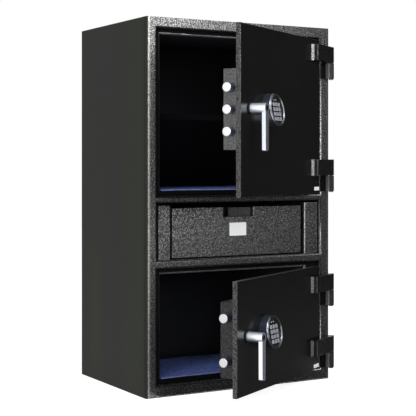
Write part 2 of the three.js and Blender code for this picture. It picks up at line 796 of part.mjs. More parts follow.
// The round bolts on their bar, with the slotted tongue that the cam's pin moves.
function boltBar(door) {
  const tip = coverX[0] - boltReach;
  const barLeft = coverX[0] + coverSheet + boltBarGap;
  const barX = [barLeft, barLeft + boltBarWidth];
  const spanZ = grown([Math.min(...door.bolts), Math.max(...door.bolts)], boltBarMargin);
  const upright = block(barX, barY, spanZ);
  const bolts = door.bolts.map((z) => joinAll([
    bar("x", [boltY, z], boltDiameter, [tip + boltChamfer, barX[1]]),
    bar("x", [boltY, z], boltDiameter - 2 * boltChamfer, [tip, tip + boltChamfer], roundFaces, boltDiameter),
  ]));
  const slotCentre = handleX - boltThrow / 2;
  const slotWidth = camPinDiameter + 2 * camPinSlack;
  const slotHeight = camPinRadius / Math.SQRT2;
  const tongueSpan = [barX[0] + boltBarWidth / 2, slotCentre + tongueLength / 2];
  const tongue = block(tongueSpan, [barY[0], barY[0] + tongueThickness],
    grown([door.handle, door.handle], tongueHeight / 2));
  const slot = block(
    [slotCentre - slotWidth / 2, slotCentre + slotWidth / 2],
    grown([barY[0], barY[0] + tongueThickness], overrun / 2),
    [door.handle + slotHeight - slotWidth / 2, door.handle + camPinRadius + slotWidth / 2]);
  return joinAll([upright, tongue, ...bolts]).subtract(slot);
}

function lockBody(door) {
  const x = [handleX + lockFromHandle, handleX + lockFromHandle + lockLength];
  const y = [doorBackY + seamGap, doorBackY + seamGap + lockDepth];
  const z = [door.handle - lockHeight / 2, door.handle + lockHeight / 2];
  return prism(rounded(x, z, keyCorner * 2), "y", y);
}

// Keypad: a round housing whose face leans back, so that it looks up at the user. The face's own
// frame has X along the door, Z up the face and Y into it, with its origin at the face's centre.
const keypadRadius = keypadDiameter / 2;
const panelRadius = keypadRadius - bezelWidth;
const keyOrigins = [];
for (let row = 0; row < keyRows; row += 1) {
  for (let column = 0; column < keyColumns; column += 1) {
    const x = (column - (keyColumns - 1) / 2) * keyPitchX;
    const z = ((keyRows - 1) / 2 - row) * keyPitchZ - keyBlockDrop;
    keyOrigins.push([x, z]);
  }
}

function onFace(solid, door) {
  const turned = solid.rotate([-keypadTilt, 0, 0]);
  return turned.translate([keypadX, doorFaceY - keypadMidDepth, door.handle]);
}

function keyBlock([x, z], grow, span) {
  const width = keyWidth / 2 + grow;
  const height = keyHeight / 2 + grow;
  const outline = rounded([x - width, x + width], [z - height, z + height], keyCorner + grow, keyCornerFaces);
  return prism(outline, "y", span);
}

// Two half-round rings with a groove between them, turned round the face's centre.
function keypadBezel() {
  const rings = [
    [panelRadius, panelRadius + innerRingWidth],
    [keypadRadius - outerRingWidth, keypadRadius],
  ];
  const profile = [new THREE.Vector2(panelRadius, bezelRise)];
  for (const [near, far] of rings) {
    for (let i = 0; i <= ringFaces; i += 1) {
      const angle = Math.PI * (1 - i / ringFaces);
      profile.push(new THREE.Vector2(
        (near + far) / 2 + ((far - near) / 2) * Math.cos(angle), -bezelRise * Math.sin(angle)));
    }
  }
  profile.push(new THREE.Vector2(keypadRadius, bezelRise), new THREE.Vector2(panelRadius, bezelRise));
  return solidOf(new THREE.LatheGeometry(profile, wideRoundFaces));
}

// The window above the keys, sunk into the key panel, and the two lamps that stand in it.
function lampWindow() {
  const x = grown([0, 0], lampWindowWidth / 2);
  const z = grown([lampWindowRise, lampWindowRise], lampWindowHeight / 2);
  const outline = rounded(x, z, lampWindowHeight / 2 - seamGap);
  return prism(outline, "y", [keyPanelRecess - overrun, keyPanelRecess + lampWindowDepth]);
}

function lamps() {
  const floor = keyPanelRecess + lampWindowDepth;
  return [-1, 1].map((side) => bar("y", [(side * lampPitch) / 2, lampWindowRise], lampDiameter,
    [floor - lampHeight, floor + seamGap], smallRoundFaces));
}

function keypadHousing(door) {
  const body = bar("y", [keypadX, door.handle], keypadDiameter,
    [doorFaceY - keypadDiameter, doorFaceY - seamGap], wideRoundFaces);
  const above = onFace(block(
    grown([0, 0], keypadDiameter), [-keypadDiameter * 2, 0], grown([0, 0], keypadDiameter)), door);
  const panel = bar("y", [0, 0], panelRadius * 2, [-overrun, keyPanelRecess], wideRoundFaces);
  const bottom = keyPanelRecess - keyProud + keyThickness + keyTravel + seamGap;
  const pockets = keyOrigins.map((origin) => keyBlock(origin, keyClearance, [keyPanelRecess - overrun, bottom]));
  const shell = body.subtract(above).add(onFace(keypadBezel(), door));
  const cuts = [panel, lampWindow(), ...pockets].map((cut) => onFace(cut, door));
  return joinAll([cutAll(shell, cuts), ...lamps().map((lamp) => onFace(lamp, door))]);
}

function keypadKey(origin, door) {
  return onFace(keyBlock(origin, 0, [keyPanelRecess - keyProud, keyPanelRecess - keyProud + keyThickness]), door);
}

function coverSpan(handle, height) {
  return [handle - coverBelowHandle, handle - coverBelowHandle + height];
}

const doors = [
  {
    name: "upper",
    span: upperDoorSpan,
    angle: upperDoorAngle,
    handle: upperHandleHeight,
    bolts: upperBolts,
    cover: coverSpan(upperHandleHeight, upperCoverHeight),
    straps: [upperDoorSpan[1] - upperTopStrapDrop, upperDoorSpan[0] + upperBottomStrapRise],
  },
  {
    name: "lower",
    span: lowerDoorSpan,
    angle: lowerDoorAngle,
    handle: lowerHandleHeight,
    bolts: lowerBolts,
    cover: coverSpan(lowerHandleHeight, lowerCoverHeight),
    straps: [lowerDoorSpan[1] - lowerTopStrapDrop, lowerDoorSpan[0] + lowerBottomStrapRise],
  },
];

for (const door of doors) {
  const leaf = new THREE.Group();
  leaf.position.set(hingeAxisX, hingeAxisY, 0);
  leaf.rotation.z = degrees(door.angle);
  safe.add(leaf);
  const place = ["top", "bottom"];
  piece(leaf, `${door.name}_door_plate`, doorPlate(door), finishes.smoothBlack());
  door.straps.forEach((bottom, i) => {
    piece(leaf, `${door.name}_door_${place[i]}_strap`, hingeStrap(bottom), finishes.texturedBlack());
    piece(safe, `${door.name}_door_${place[i]}_hinge_block`, hingeBlock(bottom), finishes.texturedBlack());
  });
  piece(leaf, `${door.name}_boltwork_cover`, boltworkCover(door), finishes.texturedBlack());
  piece(leaf, `${door.name}_bolt_bar`, boltBar(door), finishes.brightSteel());
  piece(leaf, `${door.name}_lock_body`, lockBody(door), finishes.platedSteel());
  piece(leaf, `${door.name}_lever_handle`, leverHandle(door), finishes.chrome());
  piece(leaf, `${door.name}_handle_rose`, handleRose(door), finishes.keypadBlack());
  piece(leaf, `${door.name}_keypad_housing`, keypadHousing(door), finishes.chrome());
  keyOrigins.forEach((origin, i) => {
    piece(leaf, `${door.name}_key_${i + 1}`, keypadKey(origin, door), finishes.keyGrey());
  });
}

export default safe;
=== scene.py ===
# %% [markdown]
# # Dressing a drop safe
# The construction model gives every piece of this safe at its real size: shell, frame, liners, drawer,
# doors, boltwork and keypads. This lesson loads it, softens its edges, adds the small things that such a
# model leaves out, and gives each surface its finish. All lengths are in metres. +X is to the right, +Y
# to the back and +Z up.
#

import json
import math

import bmesh
import bpy
from mathutils import Matrix, Vector, noise


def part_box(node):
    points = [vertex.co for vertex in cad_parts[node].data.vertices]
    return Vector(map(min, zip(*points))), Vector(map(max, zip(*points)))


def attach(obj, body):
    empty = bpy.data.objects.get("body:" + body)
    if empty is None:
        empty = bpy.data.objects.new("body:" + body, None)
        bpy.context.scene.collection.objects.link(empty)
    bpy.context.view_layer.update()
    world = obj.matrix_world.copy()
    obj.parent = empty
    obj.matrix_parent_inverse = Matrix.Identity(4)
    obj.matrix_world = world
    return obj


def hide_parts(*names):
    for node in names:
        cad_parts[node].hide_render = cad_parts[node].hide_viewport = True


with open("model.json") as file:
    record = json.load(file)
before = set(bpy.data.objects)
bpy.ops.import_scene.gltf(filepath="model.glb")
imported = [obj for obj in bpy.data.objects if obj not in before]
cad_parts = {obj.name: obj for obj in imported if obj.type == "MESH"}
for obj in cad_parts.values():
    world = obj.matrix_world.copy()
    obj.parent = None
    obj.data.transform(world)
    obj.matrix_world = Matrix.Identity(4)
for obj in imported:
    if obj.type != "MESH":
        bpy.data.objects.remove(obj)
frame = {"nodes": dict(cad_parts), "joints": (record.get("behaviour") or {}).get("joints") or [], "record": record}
nodes = frame["nodes"]
joints = {joint["name"]: joint for joint in frame["joints"]}
slots = {row["node"]: row["material_slot"] for row in frame["record"]["subparts"]}
bodies = frame["record"]["behaviour"]["bodies"]
body_of = {node: body for body, members in bodies.items() for node in members}
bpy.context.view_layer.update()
print("pieces in the construction model:", len(nodes))

# %% [markdown]
# ## The camera
# The photo's upright edges stay parallel, so the camera was level and its lens was shifted down to take
# in the floor. A tilted camera would make them lean. Its place, its turn to the right and its lens come
# from the safe's receding edges. The shift is written as a share of the picture's width, as Blender's
# cameras do.

# %% Camera
CAMERA_PLACE = Vector((-1.64584, -2.8668, 0.61445))
CAMERA_TURN = math.radians(-30.033)
CAMERA_SHIFT_SHARE = -0.1123
LENS_MM = 100.07
SENSOR_MM = 36

camera_data = bpy.data.cameras.new("camera")
camera_data.sensor_width = SENSOR_MM
camera_data.lens = LENS_MM
camera_data.shift_y = CAMERA_SHIFT_SHARE
camera = bpy.data.objects.new("camera", camera_data)
camera.location = CAMERA_PLACE
camera.rotation_euler = (math.pi / 2, 0, CAMERA_TURN)
bpy.context.scene.collection.objects.link(camera)
bpy.context.scene.camera = camera
bpy.context.scene.view_settings.view_transform = "Standard"
print("camera's distance from the origin:", round(CAMERA_PLACE.length, 2), "m")

# %% [markdown]
# ## Writing shader maths as sums
# A pattern is mostly arithmetic on a few textures. In the editor each sum is a Math node wired by hand.
# The class below wraps a node's output, so that `grain * 0.4 + 0.3` adds the Math nodes by itself, and
# `0.8 - cells` works as well, because the reflected forms are there too.


# %% A shader output that can be added and multiplied
class Signal:
    """A shader output that can stand in a sum, a difference or a product."""

    def __init__(self, tree, socket):
        self.tree = tree
        self.socket = socket

    def combine(self, operation, first, second):
        node = self.tree.nodes.new("ShaderNodeMath")
        node.operation = operation
        for socket, value in zip(node.inputs, (first, second)):
            set_socket(self.tree, socket, value)
        return Signal(self.tree, node.outputs[0])

    def __add__(self, other):
        return self.combine("ADD", self, other)

    def __radd__(self, other):
        return self.combine("ADD", other, self)

    def __sub__(self, other):
        return self.combine("SUBTRACT", self, other)

    def __rsub__(self, other):
        return self.combine("SUBTRACT", other, self)

    def __mul__(self, other):
        return self.combine("MULTIPLY", self, other)

    def __rmul__(self, other):
        return self.combine("MULTIPLY", other, self)

    def at_least(self, other):
        return self.combine("MAXIMUM", self, other)


def set_socket(tree, socket, value):
    """Link a signal to a socket, or set the socket to a plain value."""
    if isinstance(value, Signal):
        tree.links.new(value.socket, socket)
    else:
        socket.default_value = value


def grey(level):
    return (level, level, level, 1)


print("the colour of mid grey:", grey(0.5))

# %% [markdown]
# Every other node comes from one method, which takes the node's kind, its settings and the values or
# links of its sockets. The settings come first, because some of them decide which sockets there are. A
# Mix node has one set of sockets for numbers, one for vectors and one for colours, all with the same
# names, so the ones for colours are picked by their place.

# %% One method for every other node
MIX_SHARE, MIX_FIRST, MIX_SECOND, MIX_RESULT = 0, 6, 7, 2


class Shading:
    """A node tree to which nodes are added by kind."""

    def __init__(self, tree):
        self.tree = tree

    def node(self, kind, settings, sockets, output=0):
        made = self.tree.nodes.new("ShaderNode" + kind)
        for name, value in settings.items():
            if name == "stops":
                set_stops(made.color_ramp, value)
            else:
                setattr(made, name, value)
        for name, value in sockets.items():
            set_socket(self.tree, made.inputs[name], value)
        return Signal(self.tree, made.outputs[output])

    def mixed(self, share, first, second):
        sockets = {MIX_SHARE: share, MIX_FIRST: first, MIX_SECOND: second}
        return self.node("Mix", {"data_type": "RGBA"}, sockets, output=MIX_RESULT)


def set_stops(ramp, stops):
    while len(ramp.elements) < len(stops):
        ramp.elements.new(1)
    for element, (position, color) in zip(ramp.elements, stops):
        element.position = position
        element.color = color


print("a Mix node's colours are its inputs", MIX_FIRST, "and", MIX_SECOND)

# %% [markdown]
# A finish is a material under construction. Its textures read the object's own coordinates. Every piece
# of this safe has its origin at the model's origin, so a pattern keeps its real size in metres, and it
# stays on its piece when a door swings. Wrapping images round the pieces would need an unwrapped map for
# each of them, and the paints have no direction that would be worth it.


# %% A finish under construction
class Finish(Shading):
    """A material, with its main shader and the object's own coordinates."""

    def __init__(self, name):
        self.material = bpy.data.materials.new(name)
        self.material.use_nodes = True
        super().__init__(self.material.node_tree)
        self.shader = self.tree.nodes["Principled BSDF"]
        self.place = self.node("TexCoord", {}, {}, output="Object")

    def noise(self, scale, detail=2, roughness=0.5, place=None):
        return self.node("TexNoise", {}, {
            "Vector": place or self.place, "Scale": scale, "Detail": detail, "Roughness": roughness})

    def cells(self, scale):
        return self.node("TexVoronoi", {}, {"Vector": self.place, "Scale": scale})

    def stretched(self, scale, turn=(0, 0, 0)):
        return self.node("Mapping", {}, {"Vector": self.place, "Rotation": turn, "Scale": scale})

    def ramp(self, value, *stops):
        levels = [(position, grey(level)) for position, level in stops]
        return self.node("ValToRGB", {"stops": levels}, {"Fac": value})

    def height(self, value, distance, strength=1.0):
        return self.node("Bump", {}, {
            "Height": value, "Distance": distance, "Strength": strength}, output="Normal")

    def feed(self, **sockets):
        for name, value in sockets.items():
            set_socket(self.tree, self.shader.inputs[name.replace("_", " ")], value)
        return self.material


finishes = {}
print("finishes so far:", len(finishes))

# %% [markdown]
# ## Hammered paint
# The frame, the doors' edges and backs, the drawer and the boltwork covers have a hammered paint: a glossy
# dark coat with metal flakes that dries in small round dimples. What one sees is mostly the dimples'
# relief, which catches or misses the bright parts of the room. Modelled dimples would take millions of
# faces, so the pattern goes into the bump first and into the colour a little. Rounded cells 3 to 4
# millimetres apart give the dimples, and a finer noise breaks up their rims.


# %% Hammered paint
def hammered_paint(name, dark, bright, relief, gloss=0.36, cells_per_metre=280, metal_share=0.9):
    finish = Finish(name)
    cells = finish.cells(cells_per_metre)
    flakes = finish.noise(cells_per_metre * 1.3, 3, 0.7)
    height = 0.8 - cells + flakes * 0.6
    metal = finish.ramp(height, (0.5, 0.0), (0.82, 1.0))
    return finish.feed(
        Base_Color=finish.mixed(metal, grey(dark), grey(bright)),
        Roughness=gloss - metal * 0.1,
        Metallic=metal_share,
        Normal=finish.height(height, relief))


FRAME_CELLS = 290
finishes |= {
    "textured_black": hammered_paint("hammered_paint", 0.08, 0.37, 0.0003, 0.3, FRAME_CELLS),
    "frame_paint": hammered_paint("frame_paint", 0.075, 0.25, 0.0003, 0.3, FRAME_CELLS),
    "cover_paint": hammered_paint("cover_paint", 0.06, 0.12, 0.00014, 0.4),
    # Painted shade: the lower cover's darker paint.
    "shaded_cover_paint": hammered_paint("shaded_cover_paint", 0.02, 0.045, 0.00014, 0.4),
    "door_metal": hammered_paint("door_metal", 0.025, 0.1, 0.0003),
}
print("hammered paints:", len(finishes))

# %% [markdown]
# Bends, cut edges, the rolled mouths of the liners, the ends of the straps and the knuckles of the hinges
# face other parts of the room, so the light and shade there are painted into tones of the same paint. The
# front strip and rounded corners of the frame, the right drawer housing's bends, the liners' mouths at the
# top and right, the slanted strap ends and the knuckles' left sides are lighter, as painted highlights; the
# knuckles are the palest and the least metallic. The bends into the frame's openings are a little darker,
# as painted shade.

# %% Hammered paint with painted highlights and shade on bends and edges
finishes |= {
    # Painted shade: a darker tone for the bends into the frame's openings, also the main tone of the hinge blocks.
    "bend_paint": hammered_paint("bend_paint", 0.07, 0.2, 0.0002, 0.3),
    # Painted highlights: lighter tones for the faces that catch the light.
    "mouth_highlight": hammered_paint("mouth_highlight", 0.2, 0.7, 0.0003, 0.35),
    "painted_highlight": hammered_paint("painted_highlight", 0.17, 0.38, 0.0002, 0.4),
    "strap_end_highlight": hammered_paint("strap_end_highlight", 0.1, 0.22, 0.0002, 0.4),
    "knuckle_highlight": hammered_paint("knuckle_highlight", 0.24, 0.42, 0.0002, 0.5, metal_share=0.2),
}
print("with the bends and edges:", len(finishes))

# %% [markdown]
# ## Smooth paint
# The shell and the doors' faces have a smooth satin paint. Sprayed paint is never quite flat: it has a
# faint orange peel, its tone drifts over a hand's breadth, and dust settles on it. Three noises of very
# different size give these three things. The insides are dull, so that they swallow light.


# %% Smooth and dull paint
def satin_paint(name, tone, gloss, roughness, tint=(1.02, 1.1, 0.96)):
    finish = Finish(name)
    peel = finish.noise(620, 2, 0.45)
    runs_down = finish.stretched((1, 1, 0.12))
    drift = finish.ramp(finish.noise(9, 3, 0.5, runs_down), (0.35, 0.0), (0.65, 1.0))
    dust = finish.ramp(finish.noise(1400, 4, 0.8), (0.66, 0.0), (0.8, 1.0))
    warm = (*(tone * share for share in tint), 1)
    cool = grey(tone * 1.15)
    return finish.feed(
        Base_Color=finish.mixed(dust * 0.12, finish.mixed(drift, warm, cool), grey(0.06)),
        Roughness=roughness + drift * 0.06,
        Normal=finish.height(peel, 0.00005, 0.5),
        Specular_IOR_Level=gloss)


def dull_paint(name, tone):
    finish = Finish(name)
    dry = finish.noise(300, 3, 0.6)
    drift = finish.noise(9, 2)
    darker = (tone * 0.72, tone * 0.75, tone * 0.88, 1)
    lighter = (tone * 1.2, tone * 1.25, tone * 1.45, 1)
    return finish.feed(
        Base_Color=finish.mixed(drift, darker, lighter),
        Roughness=0.55 + dry * 0.2,
        Normal=finish.height(dry, 0.00004, 0.5),
        Specular_IOR_Level=0.03)


finishes |= {
    "smooth_black": satin_paint("shell_paint", 0.0215, 0.05, 0.5, (0.98, 1.12, 0.78)),
    "door_face": satin_paint("door_paint", 0.0035, 0.55, 0.2),
    "inner_black": dull_paint("inside_paint", 0.023),
    # Painted shade: a black darker than the insides, for lips, sills, gaps, shelf and hinge leaves where shade
    # falls.
    "shade_black": dull_paint("shade_black_paint", 0.0045),
}
print("with the smooth paints:", len(finishes))

# %% [markdown]
# ## Plated metal
# The levers and the keypads' shells are plated: almost a mirror, with a slight unevenness that makes
# reflections swim. The levers' barrels are brushed round, so their highlight is wide and soft. The lock
# bodies and the screws of the covers are zinc plated, with the leafy crystals of that plating, which
# cells of noise show well enough at this size.


# %% Plated metal
def plating(name, roughness, metal=1.0, shade=1.0, grain=420):
    finish = Finish(name)
    swim = finish.noise(24, 2)
    haze = finish.noise(grain, 2)
    darker = (0.66 * shade, 0.7 * shade, 0.8 * shade, 1)
    lighter = (0.78 * shade, 0.81 * shade, 0.87 * shade, 1)
    return finish.feed(
        Base_Color=finish.mixed(haze, darker, lighter),
        Roughness=roughness + haze * 0.07,
        Metallic=metal,
        Normal=finish.height(swim, 0.0001, 0.2))


def zinc_plating():
    finish = Finish("zinc_plating")
    leaves = finish.cells(130)
    haze = finish.noise(40, 3)
    return finish.feed(
        Base_Color=finish.mixed(
            leaves * 0.7 + haze * 0.4, (0.42, 0.43, 0.44, 1), (0.62, 0.63, 0.63, 1)),
        Roughness=0.34 + leaves * 0.2,
        Metallic=0.95,
        Normal=finish.height(leaves, 0.00003, 0.4))


finishes |= {
    "bright_plating": plating("bright_plating", 0.15, 0.93, 1.1),
    "brushed_plating": plating("brushed_plating", 0.4, 1.0, 1.14, 70),
    "keypad_shell": plating("ring_plating", 0.25, 1.0, 0.5),
    "plated_steel": zinc_plating(),
}
print("with the plated metals:", len(finishes))

# %% [markdown]
# ## Turned steel
# The round bolts are turned bars. Their ends are ground bright, and their sides keep the blue of the
# mill. A turned surface has rings round its axis, so the noise is stretched flat along the bolt, which
# also means turning it by the angle at which the doors stand open. The bolts of the lower door are in
# more shade, so their ends are painted darker, as painted shade, and a little rougher.

# %% Turned steel
DOOR_ANGLE = math.radians(31)


def turned_steel(name, dark, light, roughness, metal=1.0):
    finish = Finish(name)
    rings = finish.noise(60, 4, 0.7, finish.stretched((60, 1.5, 1.5), (0, 0, DOOR_ANGLE)))
    haze = finish.noise(90, 2)
    return finish.feed(
        Base_Color=finish.mixed(rings, dark, light),
        Roughness=roughness + rings * 0.16 + haze * 0.05,
        Metallic=metal,
        Normal=finish.height(rings, 0.00003, 0.5))


finishes |= {
    "bolt_steel": turned_steel(
        "bolt_ends", (0.63, 0.63, 0.64, 1), (0.77, 0.77, 0.77, 1), 0.25, 0.4),
    # Painted shade: the lower door's bolt ends are darker.
    "shaded_bolt_steel": turned_steel(
        "shaded_bolt_ends", (0.52, 0.52, 0.535, 1), (0.63, 0.63, 0.645, 1), 0.3, 0.4),
    "blued_steel": turned_steel(
        "bolt_sides", (0.2, 0.25, 0.36, 1), (0.34, 0.4, 0.52, 1), 0.24),
}
print("with the turned steels:", len(finishes))

# %% [markdown]
# ## Plastic and rubber
# The keypads' faces are black moulded plastic with the fine grain of a spark-eroded mould, and their keys
# a pale grey rubber. Both are one recipe with other tones: a grain of less than a millimetre in colour,
# gloss and relief, and a slow drift that keeps a large face from looking printed.


# %% Plastic and rubber
def moulded_plastic(name, dark, light, roughness):
    finish = Finish(name)
    grain = finish.noise(1500, 2, 0.6)
    drift = finish.noise(30, 2)
    return finish.feed(
        Base_Color=finish.mixed(grain * 0.5 + drift * 0.5, dark, light),
        Roughness=roughness + grain * 0.1,
        Normal=finish.height(grain, 0.00003, 0.6))


finishes |= {
    "handle_base": moulded_plastic("handle_ring", grey(0.005), grey(0.009), 0.4),
    "grip_black": moulded_plastic("grip_black", grey(0.012), grey(0.03), 0.3),
    "keypad_face": moulded_plastic("keypad_face", grey(0.008), grey(0.014), 0.3),
    # Painted shade: the keypad shell's plated side is painted nearly black.
    "shaded_keypad_side": moulded_plastic(
        "shaded_keypad_side", (0.012, 0.016, 0.03, 1), (0.02, 0.026, 0.045, 1), 0.24),
    "key_caps": moulded_plastic(
        "key_rubber", (0.25, 0.262, 0.295, 1), (0.35, 0.365, 0.405, 1), 0.5),
    "key_ink": moulded_plastic("key_ink", (0.012, 0.013, 0.02, 1), (0.03, 0.03, 0.04, 1), 0.5),
    "lamp_lens": moulded_plastic("lamp_lens", (0.5, 0.5, 0.52, 1), (0.7, 0.7, 0.72, 1), 0.1),
    "bare_plate": moulded_plastic(
        "bare_plate", (0.74, 0.75, 0.77, 1), (0.86, 0.865, 0.875, 1), 0.4),
}
print("with plastic and rubber:", len(finishes))

# %% [markdown]
# ## Felt and filling
# The mats are blue needle felt: short fibres in every direction, matted into clumps. Hair could be grown
# on them, but from where one looks the fibres are thinner than a pixel, so noise at three sizes breaks up
# the colour and the relief, and a little sheen lightens the felt at a grazing look. The front edge of
# each mat is painted paler than its face, as a painted highlight where the light falls on it. The filling
# between shell and liners is a cast, gritty mass like plaster.


# %% Felt and filling
def felt(name, dark, light):
    finish = Finish(name)
    fibres = finish.noise(900, 5, 0.75)
    tufts = finish.noise(140, 3, 0.6)
    patches = finish.noise(55, 5, 0.75, finish.stretched((1, 2.2, 1)))
    clumps = finish.ramp(tufts * 0.5 + patches * 0.5, (0.38, 0.0), (0.62, 1.0))
    tone = finish.mixed(fibres * 0.35 + clumps * 0.65, dark, light)
    worn = finish.noise(11, 3)
    return finish.feed(
        Base_Color=finish.mixed(worn * 0.2, tone, (0.05, 0.07, 0.2, 1)),
        Roughness=0.9 + fibres * 0.1,
        Normal=finish.height(fibres * 0.6 + tufts, 0.0009, 0.8),
        Sheen_Weight=0.04,
        Sheen_Roughness=0.5,
        Specular_IOR_Level=0.1)


def cast_filling():
    finish = Finish("cast_filling")
    grit = finish.noise(260, 5, 0.7)
    return finish.feed(
        Base_Color=finish.mixed(grit, (0.42, 0.4, 0.36, 1), (0.66, 0.63, 0.57, 1)),
        Roughness=0.85 + grit * 0.1,
        Normal=finish.height(grit, 0.0006, 0.6))


finishes |= {
    "blue_felt": felt("felt", (0.014, 0.024, 0.12, 1), (0.155, 0.235, 0.64, 1)),
    # Painted highlight: a paler felt for the mats' front edges.
    "felt_edge_highlight": felt("felt_edge_highlight", (0.12, 0.15, 0.32, 1), (0.28, 0.34, 0.6, 1)),
    "fire_filling": cast_filling(),
}
print("all finishes:", len(finishes))

# %% [markdown]
# Each piece of the construction model now gets the finish of its slot. Most pieces are replaced below,
# but the drawer's tray and the filling keep their solids, because their edges are hidden or small.

# %% Finish the construction model's own pieces
for node, piece in nodes.items():
    piece.data.materials.clear()
    piece.data.materials.append(finishes[slots[node]])
print("slots used:", len(set(slots.values())))

# %% [markdown]
# ## From a built mesh to a finished piece
# Every new piece is built in a bmesh and then handed over here. It is made an object at the origin, gets
# its finishes, shading that is smooth except at sharp edges, and the body it moves with. Weighted normals
# keep large flats flat beside their small rounds, which would otherwise shade them.

# %% Hand over a piece
SHARP_ANGLE = math.radians(32)


def present(name, builder, body, paints, stands_for=()):
    mesh = bpy.data.meshes.new(name)
    builder.to_mesh(mesh)
    builder.free()
    for paint in paints:
        mesh.materials.append(finishes[paint])
    mesh.shade_smooth()
    mesh.set_sharp_from_angle(angle=SHARP_ANGLE)
    piece = bpy.data.objects.new(name, mesh)
    bpy.context.scene.collection.objects.link(piece)
    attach(piece, body)
    if stands_for:
        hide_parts(*stands_for)
    weighted = piece.modifiers.new("weighted_normals", "WEIGHTED_NORMAL")
    weighted.keep_sharp = True
    return piece


print("edges stay sharp from", round(math.degrees(SHARP_ANGLE)), "degrees")

# %% [markdown]
# ## Softened copies
# Real sheet and bar have no razor edges, and it is the thin highlight along each edge that makes metal
# look like metal. The construction model's meshes are loose triangles, so each piece is copied, its
# doubles are merged, and flat areas are joined again. Then the sharp edges get a small round. A Bevel
# modifier would do that too, but done in the mesh the new faces can be told apart and painted.

# %% Copy a piece, ready for softening
FLAT_ANGLE = math.radians(0.4)
MERGE_DISTANCE = 0.00001


def merged_copy(node):
    copy = bmesh.new()
    copy.from_mesh(nodes[node].data)
    bmesh.ops.remove_doubles(copy, verts=copy.verts, dist=MERGE_DISTANCE)
    bmesh.ops.dissolve_limit(copy, angle_limit=FLAT_ANGLE, verts=copy.verts, edges=copy.edges)
    for face in copy.faces:
        face.material_index = 0
    return copy


def sharp_edges(builder):
    return [edge for edge in builder.edges
            if len(edge.link_faces) == 2 and edge.calc_face_angle(0) > SHARP_ANGLE]


def round_edges(builder, edges, radius, segments=2):
    return bmesh.ops.bevel(
        builder, geom=edges, offset=radius, offset_type="OFFSET", segments=segments, profile=0.5,
        affect="EDGES", clamp_overlap=True, material=-1)["faces"]


print("doubles merge within", MERGE_DISTANCE * 1000, "mm")

# %% [markdown]
# The softened copy stands for its piece. Where a piece has several finishes, a small function names the
# finish of each face, by where the face is or which way it looks. Where a finish changes in the middle
# of a face, the copy is first cut there by an upright plane.


# %% Soften a piece
def softened(node, radius, paints=None, paint_of=None, cut_at=None):
    """A softened copy of a node. paint_of(face) names the finish of a face, one of paints."""
    copy = merged_copy(node)
    if cut_at is not None:
        bmesh.ops.bisect_plane(
            copy, geom=[*copy.verts, *copy.edges, *copy.faces], dist=MERGE_DISTANCE,
            plane_co=(cut_at, 0, 0), plane_no=(1, 0, 0))
    if radius:
        round_edges(copy, sharp_edges(copy), radius)
    paints = paints or [slots[node]]
    if paint_of:
        copy.normal_update()
        for face in copy.faces:
            face.material_index = paints.index(paint_of(face))
    print(node, "has", len(copy.faces), "faces")
    return present(f"{node}_dressed", copy, body_of[node], paints, [node])


SHEET_ROUND = 0.0006
softened("outer_shell", SHEET_ROUND)

# %% [markdown]
# ## Drawer unit
# The drawer's front stands between two sheet housings, all three hammered. Their folded edges are rounded
# more than cut sheet is, and there the paint differs: the right housing's bends are painted lighter, as a
# painted highlight, and the left housing's bends dark, as painted shade. Along the left housing's left edge
# runs a strip of dark paint as wide as a finger, painted shade for the gap beside the frame. It could be a
# slot in the solid, but nothing can be put into it, so painted shade is enough.

# %% Drawer unit
FOLD_ROUND = 0.0012
LEFT_HOUSING_ROUND = 0.0024
SHADE_STRIP_WIDTH = 0.0082
SQUARE_ON = 0.97
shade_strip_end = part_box("left_drawer_housing")[0][0] + SHADE_STRIP_WIDTH


def with_bends(bend_paint):
    """Hammered flats, and another finish on the bends between them."""
    def paint(face):
        flat = max(abs(share) for share in face.normal) > SQUARE_ON
        return "textured_black" if flat else bend_paint
    return paint


# Painted shade: the strip beside the frame and the left housing's bends get the darker black.
def shade_strip_paint(face):
    in_shade_strip = face.calc_center_median().x < shade_strip_end
    return "shade_black" if in_shade_strip else with_bends("shade_black")(face)


softened(
    "left_drawer_housing", LEFT_HOUSING_ROUND, ["textured_black", "shade_black"], shade_strip_paint, shade_strip_end)
# Painted highlight: the right housing's bends are painted lighter.
softened(
    "right_drawer_housing", FOLD_ROUND, ["textured_black", "painted_highlight"], with_bends("painted_highlight"))
softened("upper_shelf", SHEET_ROUND, ["shade_black"])
softened(
    "drawer_front", FOLD_ROUND, ["textured_black", "frame_paint"], with_bends("frame_paint"))

# %% [markdown]
# Behind the drawer a bent plate, the baffle, keeps hands from reaching down the chute. It sits deep in
# the dark, so half a millimetre of round and the dull black of the inside are all that it needs.

# %% Baffle
BAFFLE_ROUND = 0.0005
softened("anti_fish_baffle", BAFFLE_ROUND, ["inner_black"])

# %% [markdown]
# ## Front frame
# The frame is a folded plate round three openings, hammered in front. Its outer sides were masked with
# the shell, so there the smooth paint runs on to the rounded corner. A strip along its left edge and the
# front of its rounded corners are painted lighter, as a painted highlight. The bends into the openings are
# painted a little darker, and the sill of the upper opening dark, as painted shade. All that changes along
# straight lines, so one mesh with a finish for each face does it, and no piece has to be split.
# The frame's bends are in its solid already, so nothing is rounded here.

# %% Front frame
EDGE_BAND = 0.0098
SHINE_WIDTH = 0.0135
MASKED_TILT = 0.93
FLAT_TILT = 0.999
SILL_TILT = 0.2
FRAME_PAINTS = ["frame_paint", "smooth_black", "painted_highlight", "bend_paint", "door_metal"]
shell_low, shell_high = (Vector(corner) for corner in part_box("outer_shell"))
shine_end = shell_low.x + SHINE_WIDTH
upper_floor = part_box("upper_liner")[0][2]


